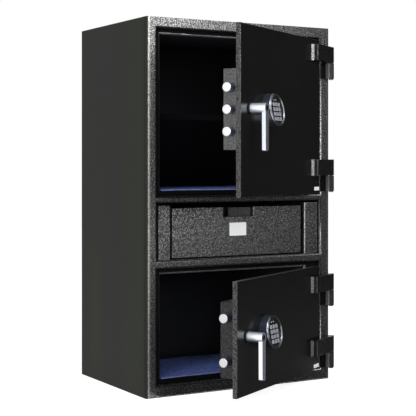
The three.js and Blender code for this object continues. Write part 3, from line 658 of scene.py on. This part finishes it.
def frame_paint_of(face):
    middle = face.calc_center_median()
    from_side = min(middle.x - shell_low.x, shell_high.x - middle.x)
    from_end = min(middle.z - shell_low.z, shell_high.z - middle.z)
    tilt = abs(face.normal.y)
    if tilt > FLAT_TILT:
        # Painted highlight: the strip along the left edge.
        return "painted_highlight" if middle.x < shine_end else "frame_paint"
    if min(from_side, from_end) > EDGE_BAND:
        # Painted shade: the sill of the upper opening is dark and the bends into the openings darker.
        on_sill = face.normal.z > SILL_TILT and middle.z > upper_floor
        return "door_metal" if on_sill else "bend_paint"
    masked = tilt < MASKED_TILT or from_end < from_side
    # Painted highlight on the front of the rounded corners; the masked sides keep the shell's smooth paint.
    return "smooth_black" if masked else "painted_highlight"


softened("front_frame", 0, FRAME_PAINTS, frame_paint_of, shine_end)

# %% [markdown]
# ## Liners
# Each compartment has a liner of folded sheet, dull black inside. Its front lip is painted a darker black,
# as painted shade under the frame. Its mouth is rolled with a bend of a few millimetres, which is painted
# as a bright line under the frame's top and at its right, as a painted highlight, and dark at the left and
# black at the sill, as painted shade. The bend is a bevel of just the edges round the mouth. They are
# found by their faces: one looks to the front, and the other one looks into the opening.

# %% Find the edges round a liner's mouth
FRONT_TILT = 0.9
LEVEL_TILT = 0.1
LINER_PAINTS = ["inner_black", "shade_black", "mouth_highlight", "door_metal"]


def mouth_edges(copy, low, middle):
    edges = []
    for face in copy.faces:
        at_front = face.calc_center_median().y - low.y < MERGE_DISTANCE
        if face.normal.y > -FRONT_TILT or not at_front:
            continue
        # Painted shade: the front lip gets the darker black.
        face.material_index = LINER_PAINTS.index("shade_black")
        for edge in face.edges:
            inner = next(side for side in edge.link_faces if side != face)
            centre = (edge.verts[0].co + edge.verts[1].co) / 2
            if inner.normal.dot(middle - centre) > 0 and abs(inner.normal.y) < LEVEL_TILT:
                edges.append(edge)
    return edges


print("finishes of a liner:", len(LINER_PAINTS))

# %% [markdown]
# The bevel returns the faces that it makes, so the bend can be painted right after it. Where a face is at
# the sill or at the left is told from the mouth's lowest and leftmost corners. The drawer's bay has a
# liner too, which is painted the darker black all over, as painted shade, and needs no bend, because the
# drawer hides its mouth.

# %% Liners with rolled mouths
MOUTH_BEND = 0.0045
MOUTH_SEGMENTS = 5


def dressed_liner(node):
    copy = merged_copy(node)
    low, high = (Vector(corner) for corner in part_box(node))
    mouth = mouth_edges(copy, low, (low + high) / 2)
    corners = [vertex.co for edge in mouth for vertex in edge.verts]
    sill_top = min(corner.z for corner in corners) + MOUTH_BEND
    left_end = min(corner.x for corner in corners) + MOUTH_BEND
    for face in round_edges(copy, mouth, MOUTH_BEND, MOUTH_SEGMENTS):
        middle = face.calc_center_median()
        # Painted highlight on the bend at the top and right; painted shade at the left and at the sill.
        on_left = "door_metal" if middle.x < left_end else "mouth_highlight"
        face.material_index = LINER_PAINTS.index(
            "shade_black" if middle.z < sill_top else on_left)
    print(node, "mouth edges rolled:", len(mouth))
    present(f"{node}_dressed", copy, body_of[node], LINER_PAINTS, [node])


for node in ("upper_liner", "lower_liner"):
    dressed_liner(node)
softened("drawer_bay_liner", 0, ["shade_black"])

# %% [markdown]
# ## Where each door is
# The doors stand open, so their pieces are easiest to place in the door's own directions: along the
# door towards its hinges, inwards through the plate, and up. The joints hold these. A matrix whose
# columns are the three directions, moved to the hinge, turns door places into world places.

# %% Door directions
UP = Vector((0, 0, 1))
DOORS = ("upper", "lower")


def axes_at(origin, along, inward, up):
    turn = Matrix((along, inward, up)).transposed().to_4x4()
    return Matrix.Translation(origin) @ turn


def door_axes(door):
    inward = Vector(joints[f"{door}_handle_turn"]["axis"]).normalized()
    hinge = Vector(joints[f"{door}_door_hinge"]["pos_m"])
    return axes_at(Vector((hinge.x, hinge.y, 0)), inward.cross(UP), inward, UP)


def box_in(node, axes):
    """A node's lowest and highest corners, measured along other axes."""
    back = axes.inverted()
    points = [back @ vertex.co for vertex in nodes[node].data.vertices]
    low = Vector([min(point[i] for point in points) for i in range(3)])
    high = Vector([max(point[i] for point in points) for i in range(3)])
    return low, high


def hub_of(door):
    """The middle of the ring under the lever, in the door's directions."""
    low, high = box_in(f"{door}_handle_rose", door_places[door])
    return (low + high) / 2


door_places = {door: door_axes(door) for door in DOORS}
for door in DOORS:
    print(door, "lever's hub at", [round(share, 4) for share in hub_of(door)])

# %% [markdown]
# The keypads' faces are tilted as well, because their housings are cut off at a slant. Their directions
# come from the way in which the keys are pressed. Their middle lies in front of the door's face, half
# way across the housing and level with the lever's hub.

# %% Keypad directions
KEYPAD_FACE_REACH = 0.024


def face_axes(door):
    """Along the door, into the tilted face, and up the face."""
    axes = door_places[door]
    inward = Vector(joints[f"{door}_key_1_press"]["axis"]).normalized()
    along = axes.to_3x3().col[0]
    low, high = box_in(f"{door}_keypad_housing", axes)
    plate_face = box_in(f"{door}_door_plate", axes)[0].y
    middle = Vector(((low.x + high.x) / 2, plate_face - KEYPAD_FACE_REACH, hub_of(door).z))
    return axes_at(axes @ middle, along, inward, along.cross(inward))


face_places = {door: face_axes(door) for door in DOORS}
for door in DOORS:
    print(door, "keypad at", [round(share, 4) for share in face_places[door].translation])

# %% [markdown]
# ## Door plates
# A door's face is smooth, while its edges and back are hammered like the frame. It could be modelled as
# a thin skin on a plate, but it is one plate of steel that was masked and painted twice. So it stays one
# piece with two finishes, told apart by which way a face of the mesh looks. Its edges are only just
# broken, as a file would leave them.

# %% Door plates
PLATE_ROUND = 0.0009
FACING = 0.9


def plate_paint(door):
    outward = -door_places[door].to_3x3().col[1]
    return lambda face: "door_face" if face.normal.dot(outward) > FACING else "door_metal"


for door in DOORS:
    softened(f"{door}_door_plate", PLATE_ROUND, ["door_face", "door_metal"], plate_paint(door))

# %% [markdown]
# ## Hinges
# Each hinge is a strap across the door and a block on the frame, with a pin between them. The strap's
# free end is cut at a slant, which catches the light, and it is painted lighter as a painted highlight.
# The block has a thin leaf against the frame, painted dark as the door's shade, and a thick knuckle, whose
# left side is painted pale as a painted highlight. Again the finish goes by the face.

# %% Hinges
BAR_ROUND = 0.0011
LEAF_STEP = 0.006
SLANT = (0.25, 0.9)
LEFTWARD = -0.4
BLOCK_PAINTS = ["bend_paint", "knuckle_highlight", "shade_black"]


def strap_paint(door):
    endward = -door_places[door].to_3x3().col[0]

    def paint(face):
        # Painted highlight: the slanted end is painted lighter.
        slanted = SLANT[0] < face.normal.dot(endward) < SLANT[1]
        return "strap_end_highlight" if slanted else "door_metal"

    return paint


def block_paint(node):
    leaf_end, leaf_face = (share + LEAF_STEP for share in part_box(node)[0][:2])

    def paint(face):
        middle = face.calc_center_median()
        # Painted shade on the leaf's front; painted highlight on the knuckle's left side.
        if middle.y > leaf_face and face.normal.y < -FACING:
            return "shade_black"
        on_knuckle = face.normal.x < LEFTWARD and middle.x > leaf_end
        return "knuckle_highlight" if on_knuckle else "bend_paint"

    return paint


for door in DOORS:
    for place in ("top", "bottom"):
        strap = f"{door}_door_{place}_strap"
        softened(strap, BAR_ROUND, ["door_metal", "strap_end_highlight"], strap_paint(door))
        block = f"{door}_door_{place}_hinge_block"
        softened(block, BAR_ROUND, BLOCK_PAINTS, block_paint(block))

# %% [markdown]
# ## Boltwork
# Behind each plate a folded cover holds the boltwork, and round bolts come out of its side. The lower
# cover is in more shade than the upper one. Lamps could be placed to show that, but they would change
# all the rest, so its paint is darker. The bolts are bright at their ends and blue along their sides.
# The lock body sits behind the keypad, inside the cover.

# %% Boltwork
COVER_ROUND = 0.0012
LOCK_ROUND = 0.001
BOLT_ROUND = 0.0006
END_ON = 0.5
# Painted shade: the lower door's cover and bolt ends have darker paints.
COVER_PAINTS = {"upper": "cover_paint", "lower": "shaded_cover_paint"}
BOLT_ENDS = {"upper": "bolt_steel", "lower": "shaded_bolt_steel"}


def bolt_paint(door):
    endward = -door_places[door].to_3x3().col[0]
    return lambda face: BOLT_ENDS[door] if face.normal.dot(endward) > END_ON else "blued_steel"


for door in DOORS:
    softened(f"{door}_boltwork_cover", COVER_ROUND, [COVER_PAINTS[door]])
    softened(f"{door}_lock_body", LOCK_ROUND)
    softened(f"{door}_bolt_bar", BOLT_ROUND, [BOLT_ENDS[door], "blued_steel"], bolt_paint(door))

# %% [markdown]
# ## Levers
# A lever is a plated arm on a brushed barrel, over a dark ring. At the barrel's end is a small recess,
# black inside, where a screw sits. Arm, barrel and recess are one solid, so a face is told by how far it
# is from the barrel's axis and how deep it lies behind the lever's front.

# %% Levers
RING_ROUND = 0.0006
LEVER_ROUND = 0.0016
RECESS_RADIUS = 0.0072
RECESS_DEPTHS = (0.001, 0.004)
BARREL_RADIUS = 0.0126
ARM_THICKNESS = 0.0102
LEVER_PAINTS = ["bright_plating", "brushed_plating", "keypad_face"]


def lever_paint(door):
    back = door_places[door].inverted()
    lever_front = box_in(f"{door}_lever_handle", door_places[door])[0].y
    hub = hub_of(door)

    def paint(face):
        point = back @ face.calc_center_median()
        from_hub = math.hypot(point.x - hub.x, point.z - hub.z)
        depth = point.y - lever_front
        if from_hub < RECESS_RADIUS and RECESS_DEPTHS[0] < depth < RECESS_DEPTHS[1]:
            return "keypad_face"
        on_barrel = depth > ARM_THICKNESS and from_hub < BARREL_RADIUS
        return "brushed_plating" if on_barrel else "bright_plating"

    return paint


for door in DOORS:
    softened(f"{door}_handle_rose", RING_ROUND)
    softened(f"{door}_lever_handle", LEVER_ROUND, LEVER_PAINTS, lever_paint(door))

# %% [markdown]
# ## Keypads
# A keypad's shell is plated, with two round-topped rings at its rim and a black groove between them.
# Inside the rings lies a black panel with two lamps and twelve keys. The shell's plated side is painted
# nearly black, as painted shade. All of these belong to one solid, so they are told apart by how far they
# are from the middle of the face and how deep behind it.

# %% Keypads
KEYPAD_ROUND = 0.0003
PANEL_RADIUS = 0.0352
GROOVE = (0.0369, 0.0401)
GROOVE_TOP = -0.0006
RING_RADIUS = 0.0414
RING_BACK = 0.0004
FACE_REACH = 0.012
LAMP_SPREAD = 0.005
LAMP_RISE = 0.0255
LAMP_RADIUS = 0.0018
LAMP_TOP = 0.0022
KEYPAD_PAINTS = ["keypad_shell", "keypad_face", "lamp_lens", "shaded_keypad_side"]


def keypad_paint(door):
    back = face_places[door].inverted()

    def paint(face):
        point = back @ face.calc_center_median()
        radius = math.hypot(point.x, point.z)
        from_lamp = math.hypot(abs(point.x) - LAMP_SPREAD, point.z - LAMP_RISE)
        # Painted shade: the plated side is painted nearly black.
        if radius > RING_RADIUS and point.y > RING_BACK:
            return "shaded_keypad_side"
        if point.y > FACE_REACH:
            return "keypad_shell"
        if from_lamp < LAMP_RADIUS and point.y < LAMP_TOP:
            return "lamp_lens"
        in_groove = GROOVE[0] < radius < GROOVE[1] and point.y > GROOVE_TOP
        return "keypad_face" if radius < PANEL_RADIUS or in_groove else "keypad_shell"

    return paint


for door in DOORS:
    softened(f"{door}_keypad_housing", KEYPAD_ROUND, KEYPAD_PAINTS, keypad_paint(door))

# %% [markdown]
# ## Key signs
# The keys carry plain signs in dark ink. In Blender such a sign starts as a text curve with a little
# thickness, which is made a mesh before it is placed. A text's mesh has doubles where its front meets
# its sides, so they are merged and the sign is a closed solid.

# %% Key signs
KEY_SIGNS = "123456789*0#"
KEY_PAINTS = ["key_caps", "key_ink", "keypad_face"]
SIGN_SIZE = 0.0094
SIGN_THICKNESS = 0.00006
SIGN_MERGE_DISTANCE = 0.000001


def sign_mesh(sign):
    curve = bpy.data.curves.new("sign", "FONT")
    curve.body = sign
    curve.size = SIGN_SIZE
    curve.extrude = SIGN_THICKNESS
    curve.align_x = "CENTER"
    curve.align_y = "CENTER"
    writer = bpy.data.objects.new("sign", curve)
    mesh = bpy.data.meshes.new_from_object(writer)
    bpy.data.objects.remove(writer)
    written = bmesh.new()
    written.from_mesh(mesh)
    bmesh.ops.remove_doubles(written, verts=written.verts, dist=SIGN_MERGE_DISTANCE)
    for face in written.faces:
        face.material_index = KEY_PAINTS.index("key_ink")
    written.to_mesh(mesh)
    written.free()
    return mesh


signs = {sign: sign_mesh(sign) for sign in KEY_SIGNS}
print("signs made:", len(signs))

# %% [markdown]
# ## Keys
# A key is a small rubber block whose top is rolled at its left and right sides. Those two edges get a
# wide round first and all others a narrow one, because one bevel can't do both. The two are found in the
# face's own directions: they are upright, on top, and away from the key's middle.

# %% Find a key's sides
KEY_TOP_DEPTH = 0.0004
KEY_EDGE_LEAST = 0.004
KEY_MIDDLE_REACH = 0.004


def at_key_side(edge, place, x):
    """True for the two long upright edges at the left and right of a key's top."""
    ends = [place.inverted() @ vertex.co for vertex in edge.verts]
    upright_edge = abs(ends[0].z - ends[1].z) > KEY_EDGE_LEAST
    on_top = max(end.y for end in ends) < KEY_TOP_DEPTH
    return upright_edge and on_top and min(abs(end.x - x) for end in ends) > KEY_MIDDLE_REACH


print("a key's side edge is longer than", KEY_EDGE_LEAST * 1000, "mm")

# %% [markdown]
# A key's top is pale, and its sides are in the dark of the pocket, so they are black. The sign is laid on
# the top, facing out of the tilted face. It could be an object of its own with the key as its parent,
# but joined to the key's mesh it can't be left behind when the key is pressed.

# %% Keys with their signs
KEY_ROUND = 0.0004
KEY_SIDE_ROLL = 0.0011
KEY_ROLL_SEGMENTS = 3
KEY_COLUMNS = 3
KEY_ROWS = 4
KEY_PITCH = (0.015, 0.0124)
KEY_BLOCK_DROP = 0.005
KEY_TOP = 0.00034
upright = Matrix.Rotation(math.pi / 2, 4, "X")


def dressed_key(door, index, sign):
    node = f"{door}_key_{index + 1}"
    place = face_places[door]
    row, column = divmod(index, KEY_COLUMNS)
    x = (column - (KEY_COLUMNS - 1) / 2) * KEY_PITCH[0]
    z = ((KEY_ROWS - 1) / 2 - row) * KEY_PITCH[1] - KEY_BLOCK_DROP
    copy = merged_copy(node)
    rolled = [edge for edge in sharp_edges(copy) if at_key_side(edge, place, x)]
    round_edges(copy, rolled, KEY_SIDE_ROLL, KEY_ROLL_SEGMENTS)
    round_edges(copy, sharp_edges(copy), KEY_ROUND)
    copy.normal_update()
    outward = -place.to_3x3().col[1]
    for face in copy.faces:
        paint = "key_caps" if face.normal.dot(outward) > FACING else "keypad_face"
        face.material_index = KEY_PAINTS.index(paint)
    written = signs[sign].copy()
    written.transform(place @ Matrix.Translation((x, -KEY_TOP, z)) @ upright)
    copy.from_mesh(written)
    bpy.data.meshes.remove(written)
    present(f"{node}_dressed", copy, body_of[node], KEY_PAINTS, [node])


for door in DOORS:
    for index, sign in enumerate(KEY_SIGNS):
        dressed_key(door, index, sign)
    print(door, "keys dressed:", len(KEY_SIGNS))

# %% [markdown]
# ## Felt mats
# A loose felt mat lies on each compartment's floor: a sheet that was cut to size and has warped a
# little, most of all along its far edge. Felt this stiff doesn't fold, so cloth simulation isn't needed.
# A fine grid gets a gentle swell from smooth noise, broad and fine, which grows towards the far edge.

# %% Swell of a mat
MAT_LIFT = 0.0004
MAT_STEP = 0.006
MAT_SWELL = 0.0017
BROAD_PER_METRE = (11, 13)
FINE_PER_METRE = (34, 27)
MEAN_SHARE = 0.45
BROAD_SHARE = 0.9
FINE_SHARE = 0.3
FRONT_SHARE = 0.5
GROWTH_SHARE = 0.9
EDGE_PER_METRE = 19
EDGE_WAVE = 0.004
EDGE_START = 0.93


def swell(vertex, share, seed):
    """Lift a point of a mat. The share runs from 0 at the mat's front to 1 at its far edge."""
    x, y = vertex.co.x, vertex.co.y
    broad = noise.noise(Vector((x * BROAD_PER_METRE[0], y * BROAD_PER_METRE[1], seed)))
    fine = noise.noise(Vector((x * FINE_PER_METRE[0], y * FINE_PER_METRE[1], seed + 5)))
    waves = max(0.0, MEAN_SHARE + broad * BROAD_SHARE + fine * FINE_SHARE)
    vertex.co.z += MAT_SWELL * waves * (FRONT_SHARE + GROWTH_SHARE * share)
    if share > EDGE_START:
        drawn_in = 0.5 + noise.noise(Vector((x * EDGE_PER_METRE, seed, 2)))
        vertex.co.y -= EDGE_WAVE * drawn_in * (share - EDGE_START) / (1 - EDGE_START)


def swollen_grid(low, size, seed):
    sheet = bmesh.new()
    middle = Vector((low.x + size.x / 2, low.y + size.y / 2, low.z + MAT_LIFT))
    bmesh.ops.create_grid(
        sheet, x_segments=round(size.x / MAT_STEP), y_segments=round(size.y / MAT_STEP), size=0.5,
        matrix=Matrix.Translation(middle) @ Matrix.Diagonal((size.x, size.y, 1, 1)))
    for vertex in sheet.verts:
        swell(vertex, (vertex.co.y - low.y) / size.y, seed)
    return sheet


print("a mat's grid step:", MAT_STEP * 1000, "mm")

# %% [markdown]
# The grid then gets its thickness upwards and a narrow round along its rim. Solidify on a grid can turn
# the new solid inside out, and its volume, which is then negative, shows it. The edge at the front is
# painted paler, as a painted highlight.

# %% Felt mats
MAT_THICKNESS = 0.003
MAT_ROUND = 0.0009
TOP_TILT = 0.8
FRONT_RIM_TILT = -0.3
MAT_PAINTS = ["blue_felt", "felt_edge_highlight"]


def felt_mat(node, seed):
    low, high = (Vector(corner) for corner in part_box(node))
    size = high - low
    sheet = swollen_grid(low, size, seed)
    bmesh.ops.recalc_face_normals(sheet, faces=sheet.faces)
    if next(iter(sheet.faces)).normal.z < 0:
        bmesh.ops.reverse_faces(sheet, faces=sheet.faces)
    bmesh.ops.solidify(sheet, geom=sheet.faces, thickness=-MAT_THICKNESS)
    if sheet.calc_volume(signed=True) < 0:
        bmesh.ops.reverse_faces(sheet, faces=sheet.faces)
    round_edges(sheet, sharp_edges(sheet), MAT_ROUND)
    sheet.normal_update()
    for face in sheet.faces:
        # Painted highlight: the front rim gets the paler felt.
        front_rim = face.normal.z < TOP_TILT and face.normal.y < FRONT_RIM_TILT
        face.material_index = MAT_PAINTS.index("felt_edge_highlight" if front_rim else "blue_felt")
    piece = present(f"{node}_felt", sheet, body_of[node], MAT_PAINTS, [node])
    print(node, "cut to", round(size.x, 3), "by", round(size.y, 3))


felt_mat("upper_mat", 3)
felt_mat("lower_mat", 8)

# %% [markdown]
# ## Small plates
# The small flat pieces are all blocks with broken edges. A cube is stretched between two corners, its
# edges are rounded, and only then is it turned into place, so that its rounds are even on every side.


# %% A block with rounded edges
def rounded_block(low, high, radius, axes=Matrix.Identity(4)):
    low, high = Vector(low), Vector(high)
    block = bmesh.new()
    bmesh.ops.create_cube(
        block, size=1,
        matrix=Matrix.Translation((low + high) / 2) @ Matrix.Diagonal((*(high - low), 1)))
    round_edges(block, list(block.edges), radius)
    block.transform(axes)
    return block


sample = rounded_block((0, 0, 0), (1, 1, 1), 0.1)
print("a rounded block has", len(sample.faces), "faces")
sample.free()

# %% [markdown]
# The drawer's notch has a ribbed plate behind it, so that fingers don't slip. A block and a row of
# half-sunk round ribs make it. The ribs could be a bump in the finish, but the plate is seen from near
# when the drawer is pulled, and its outline should show them.

# %% Grip plate behind the drawer's notch
GRIP_X = (-0.0245, 0.052)
GRIP_Y = (-0.1715, -0.1695)
GRIP_BELOW_TOP = (0.0265, 0.0025)
GRIP_ROUND = 0.0004
RIB_COUNT = 18
RIB_RADIUS = 0.0016
RIB_SIDES = 10
RIB_GAP = 0.0005

drawer_low, drawer_high = (Vector(corner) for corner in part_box("drawer_front"))
grip_z = tuple(drawer_high.z - drop for drop in GRIP_BELOW_TOP)
grip = rounded_block(
    (GRIP_X[0], GRIP_Y[0], grip_z[0]), (GRIP_X[1], GRIP_Y[1], grip_z[1]), GRIP_ROUND)
pitch = (GRIP_X[1] - GRIP_X[0]) / RIB_COUNT
for rib in range(RIB_COUNT):
    x = GRIP_X[0] + (rib + 0.5) * pitch
    bmesh.ops.create_cone(
        grip, cap_ends=True, segments=RIB_SIDES, radius1=RIB_RADIUS, radius2=RIB_RADIUS,
        depth=grip_z[1] - grip_z[0] - RIB_GAP * 2,
        matrix=Matrix.Translation((x, GRIP_Y[0], (grip_z[0] + grip_z[1]) / 2)))
present("drawer_grip_plate", grip, "drawer", ["grip_black"])
print("ribs", round(pitch * 1000, 1), "mm apart")

# %% [markdown]
# A small pale plate is fixed to the drawer's front and one low on each door. They are thin plastic with
# nothing on them. A patch of pale finish on the face would do from afar, but a real plate stands proud
# and has a rim. Each is a block in the directions of what it is fixed to, with its back on that face.

# %% Bare plates
PLATE_THICKNESS = 0.0007
PLATE_EDGE = 0.0002
DRAWER_PLATE_X = (-0.029, 0.024)
DRAWER_PLATE_Z = (0.4126, 0.448)
DOOR_PLATE_X = (-0.0988, -0.0658)
DOOR_PLATE_HALF_HEIGHT = 0.0049
DOOR_PLATE_LEVELS = {"upper": 0.539, "lower": 0.049}


def bare_plate(name, x_range, z_range, face_y, body, axes=Matrix.Identity(4)):
    plate = rounded_block(
        (x_range[0], face_y - PLATE_THICKNESS, z_range[0]), (x_range[1], face_y, z_range[1]),
        PLATE_EDGE, axes)
    present(name, plate, body, ["bare_plate"])
    print(name, round((x_range[1] - x_range[0]) * 1000), "mm wide")


bare_plate("drawer_bare_plate", DRAWER_PLATE_X, DRAWER_PLATE_Z, drawer_low.y, "drawer")
for door, level in DOOR_PLATE_LEVELS.items():
    door_face_y = box_in(f"{door}_door_plate", door_places[door])[0].y
    bare_plate(
        f"{door}_door_bare_plate", DOOR_PLATE_X,
        (level - DOOR_PLATE_HALF_HEIGHT, level + DOOR_PLATE_HALF_HEIGHT), door_face_y,
        f"{door}_door", door_places[door])

# %% [markdown]
# ## Screws
# A screw's head starts as a short cone with flat ends. Its top face is inset, and the inner part is
# pushed down to make the socket. The thread is hidden in what the screw holds, so it isn't modelled.

# %% A low round screw head
SCREW_SIDES = 24
SCREW_TAPER = 0.82
SOCKET_RIM = 0.4
SOCKET_DEPTH = 0.6


def screw(builder, place, radius, height, axes):
    """A low round head with a sunk socket. Its axis is the local Y, and its top looks to -Y."""
    turn = axes @ Matrix.Translation(place) @ upright
    made = bmesh.ops.create_cone(
        builder, cap_ends=True, segments=SCREW_SIDES, radius1=radius, radius2=radius * SCREW_TAPER,
        depth=height, matrix=turn @ Matrix.Translation((0, 0, height / 2)))["verts"]
    ends = (face for vertex in made for face in vertex.link_faces if len(face.verts) == SCREW_SIDES)
    top = max(ends, key=lambda face: (turn.inverted() @ face.calc_center_median()).z)
    bmesh.ops.inset_region(
        builder, faces=[top], thickness=radius * SOCKET_RIM, use_even_offset=True)
    sunk = bmesh.ops.extrude_discrete_faces(builder, faces=[top])["faces"]
    inward = turn.to_3x3() @ Vector((0, 0, -height * SOCKET_DEPTH))
    bmesh.ops.translate(builder, vec=inward, verts=sunk[0].verts)


print("a screw head has", SCREW_SIDES, "sides")

# %% [markdown]
# Six zinc plated screws hold each boltwork cover to its door. They look backwards, so their place is
# given in the door's directions turned by half a turn. A dark screw sits in the recess at the end of
# each lever's barrel, and turns with the lever. All six of a cover are one piece, because none of them
# ever moves on its own.

# %% Screws of the covers and levers
COVER_SCREW = (0.0048, 0.0026)
LEVER_SCREW = (0.0052, 0.0022)
LEVER_SCREW_DEPTH = 0.003
COVER_MARGIN_X = (0.03, 0.042)
COVER_MARGIN_Z = 0.04

for door in DOORS:
    axes = door_places[door]
    low, high = box_in(f"{door}_boltwork_cover", axes)
    behind = axes @ Matrix.Translation((0, high.y, 0)) @ Matrix.Rotation(math.pi, 4, "Z")
    screws = bmesh.new()
    for x in (low.x + COVER_MARGIN_X[0], high.x - COVER_MARGIN_X[1]):
        for z in (low.z + COVER_MARGIN_Z, (low.z + high.z) / 2, high.z - COVER_MARGIN_Z):
            screw(screws, (-x, 0, z), *COVER_SCREW, behind)
    present(f"{door}_cover_screws", screws, f"{door}_door", ["plated_steel"])
    hub = hub_of(door)
    lever_front = box_in(f"{door}_lever_handle", axes)[0].y
    socket = bmesh.new()
    screw(socket, (hub.x, lever_front + LEVER_SCREW_DEPTH, hub.z), *LEVER_SCREW, axes)
    present(f"{door}_lever_screw", socket, f"{door}_handle", ["handle_base"])
    print(door, "screws set behind", round(high.y, 4), "m and before", round(lever_front, 4), "m")

# %% [markdown]
# ## Sheets of the stage
# The floor, and the dark flags further down, are flat sheets of a few rectangles.


# %% A flat sheet of the stage
def stage_sheet(name, rectangles, matrix):
    """Flat rectangles, each given by two corners, that aren't part of the safe."""
    builder = bmesh.new()
    for low, high in rectangles:
        middle = Vector(((low[0] + high[0]) / 2, (low[1] + high[1]) / 2, 0))
        size = Matrix.Diagonal((high[0] - low[0], high[1] - low[1], 1, 1))
        bmesh.ops.create_grid(
            builder, x_segments=1, y_segments=1, size=0.5,
            matrix=matrix @ Matrix.Translation(middle) @ size)
    data = bpy.data.meshes.new(name)
    builder.to_mesh(data)
    builder.free()
    made = bpy.data.objects.new(name, data)
    bpy.context.scene.collection.objects.link(made)
    print(name, "made of", len(rectangles), "rectangles")
    return made


FLOOR_HALF = 7
floor = stage_sheet(
    "floor", [((-FLOOR_HALF, -FLOOR_HALF), (FLOOR_HALF, FLOOR_HALF))], Matrix.Identity(4))

# %% [markdown]
# ## White floor and backdrop
# The safe stands on a white floor in front of white, so that only its own shadow shows. More light would
# make them white too, but it would wash out the safe. The Light Path node tells who looks: the backdrop
# is white to the camera, to mirrors and through glass, and a plain grey as a source of light. The floor
# is pale, and a glow that only the same rays see lifts it to white, save where the safe's shadow falls.

# %% White to the eye
FLOOR_TONE = 0.84
WHITE_LIFT = 0.72
SKY_LIGHT = 0.38


def seen_white(shading, unseen):
    """White to the eye and to mirrors, and another level of grey as a source of light."""
    seen, mirrored, through = (
        shading.node("LightPath", {}, {}, output=f"Is {ray} Ray")
        for ray in ("Camera", "Glossy", "Transmission"))
    return shading.mixed(seen.at_least(mirrored).at_least(through), grey(unseen), grey(1.0))


floor_finish = Finish("floor")
floor.data.materials.append(floor_finish.feed(
    Base_Color=grey(FLOOR_TONE),
    Roughness=0.9,
    Specular_IOR_Level=0.0,
    Emission_Color=seen_white(floor_finish, 0.0),
    Emission_Strength=WHITE_LIFT))

world = bpy.data.worlds.new("studio")
world.use_nodes = True
bpy.context.scene.world = world
sky = Shading(world.node_tree)
backdrop = sky.tree.nodes["Background"]
set_socket(sky.tree, backdrop.inputs["Color"], seen_white(sky, SKY_LIGHT))
print("the backdrop lights the safe with a grey of", SKY_LIGHT)

# %% [markdown]
# ## Lamps
# Black metal shows the lamps more than it takes their light, so they are few and large. A soft box in
# front and a little to the right fills the frame, one at the left lights the bright line down the frame's
# rounded corner, which is also painted lighter as a painted highlight, and lights the lever's barrel, and
# one overhead lights the mats.


# %% Lamps
def lamp(name, place, target, size, power):
    data = bpy.data.lights.new(name, "AREA")
    data.shape = "RECTANGLE"
    data.size, data.size_y = size
    data.energy = power
    made = bpy.data.objects.new(name, data)
    made.location = place
    made.rotation_euler = (Vector(target) - Vector(place)).to_track_quat("-Z", "Y").to_euler()
    made.visible_camera = False
    bpy.context.scene.collection.objects.link(made)
    print(name, "of", power, "watts")


lamp("front_box", place=(0.75, -3.4, 1.75), target=(0, -0.2, 0.75), size=(1.5, 1.8), power=64)
lamp("left_box", place=(-2.7, -1.7, 1.0), target=(-0.2, -0.2, 0.5), size=(0.9, 1.6), power=26)
lamp("top_box", place=(-1.2, -1.6, 2.6), target=(0, -0.1, 0.5), size=(1.4, 1.2), power=26)

# %% [markdown]
# ## Flags
# In an all white room, black paint would look grey, because it mirrors the room. A photographer puts up
# dark flags for that. One stands at the right, one at the right in front, and one lies on the floor
# before the safe and beside it. Only mirrors see them: they are hidden from the camera, cast no shadow
# and darken nothing by themselves.

# %% Flags
DARK = 0.05
DIM = 0.12
FLAG_X = 2.2
FLAG_Y = -3.6
FLAG_HEIGHT = 2.6
FLAG_LIFT = 0.003
SIDE_FLAG_BACK = 2.2
FRONT_FLAG_LEFT = 1.2
facing_left = Matrix(((0, 0, 1, 0), (1, 0, 0, 0), (0, 1, 0, 0), (0, 0, 0, 1)))
beside = Matrix.Translation((FLAG_X, 0, 0)) @ facing_left
before = Matrix.Translation((0, FLAG_Y, 0)) @ upright
on_floor = Matrix.Translation((0, 0, FLAG_LIFT))


def flag(name, tone, rectangles, matrix):
    made = stage_sheet(name, rectangles, matrix)
    made.visible_camera = False
    made.visible_diffuse = False
    made.visible_shadow = False
    made.data.materials.append(
        Finish(name).feed(Base_Color=grey(tone), Roughness=1.0, Specular_IOR_Level=0.0))


flag("side_flag", DARK, [((FLAG_Y, 0), (SIDE_FLAG_BACK, FLAG_HEIGHT))], beside)
flag("front_flag", DARK, [((FRONT_FLAG_LEFT, 0), (FLAG_X, FLAG_HEIGHT))], before)
flag("floor_flag", DIM, [
    ((-0.25, -0.9), (0.2, -0.2)),
    ((0.2, FLAG_Y), (0.5, -0.2)),
    ((0.5, FLAG_Y), (FLAG_X, 1.0)),
], on_floor)
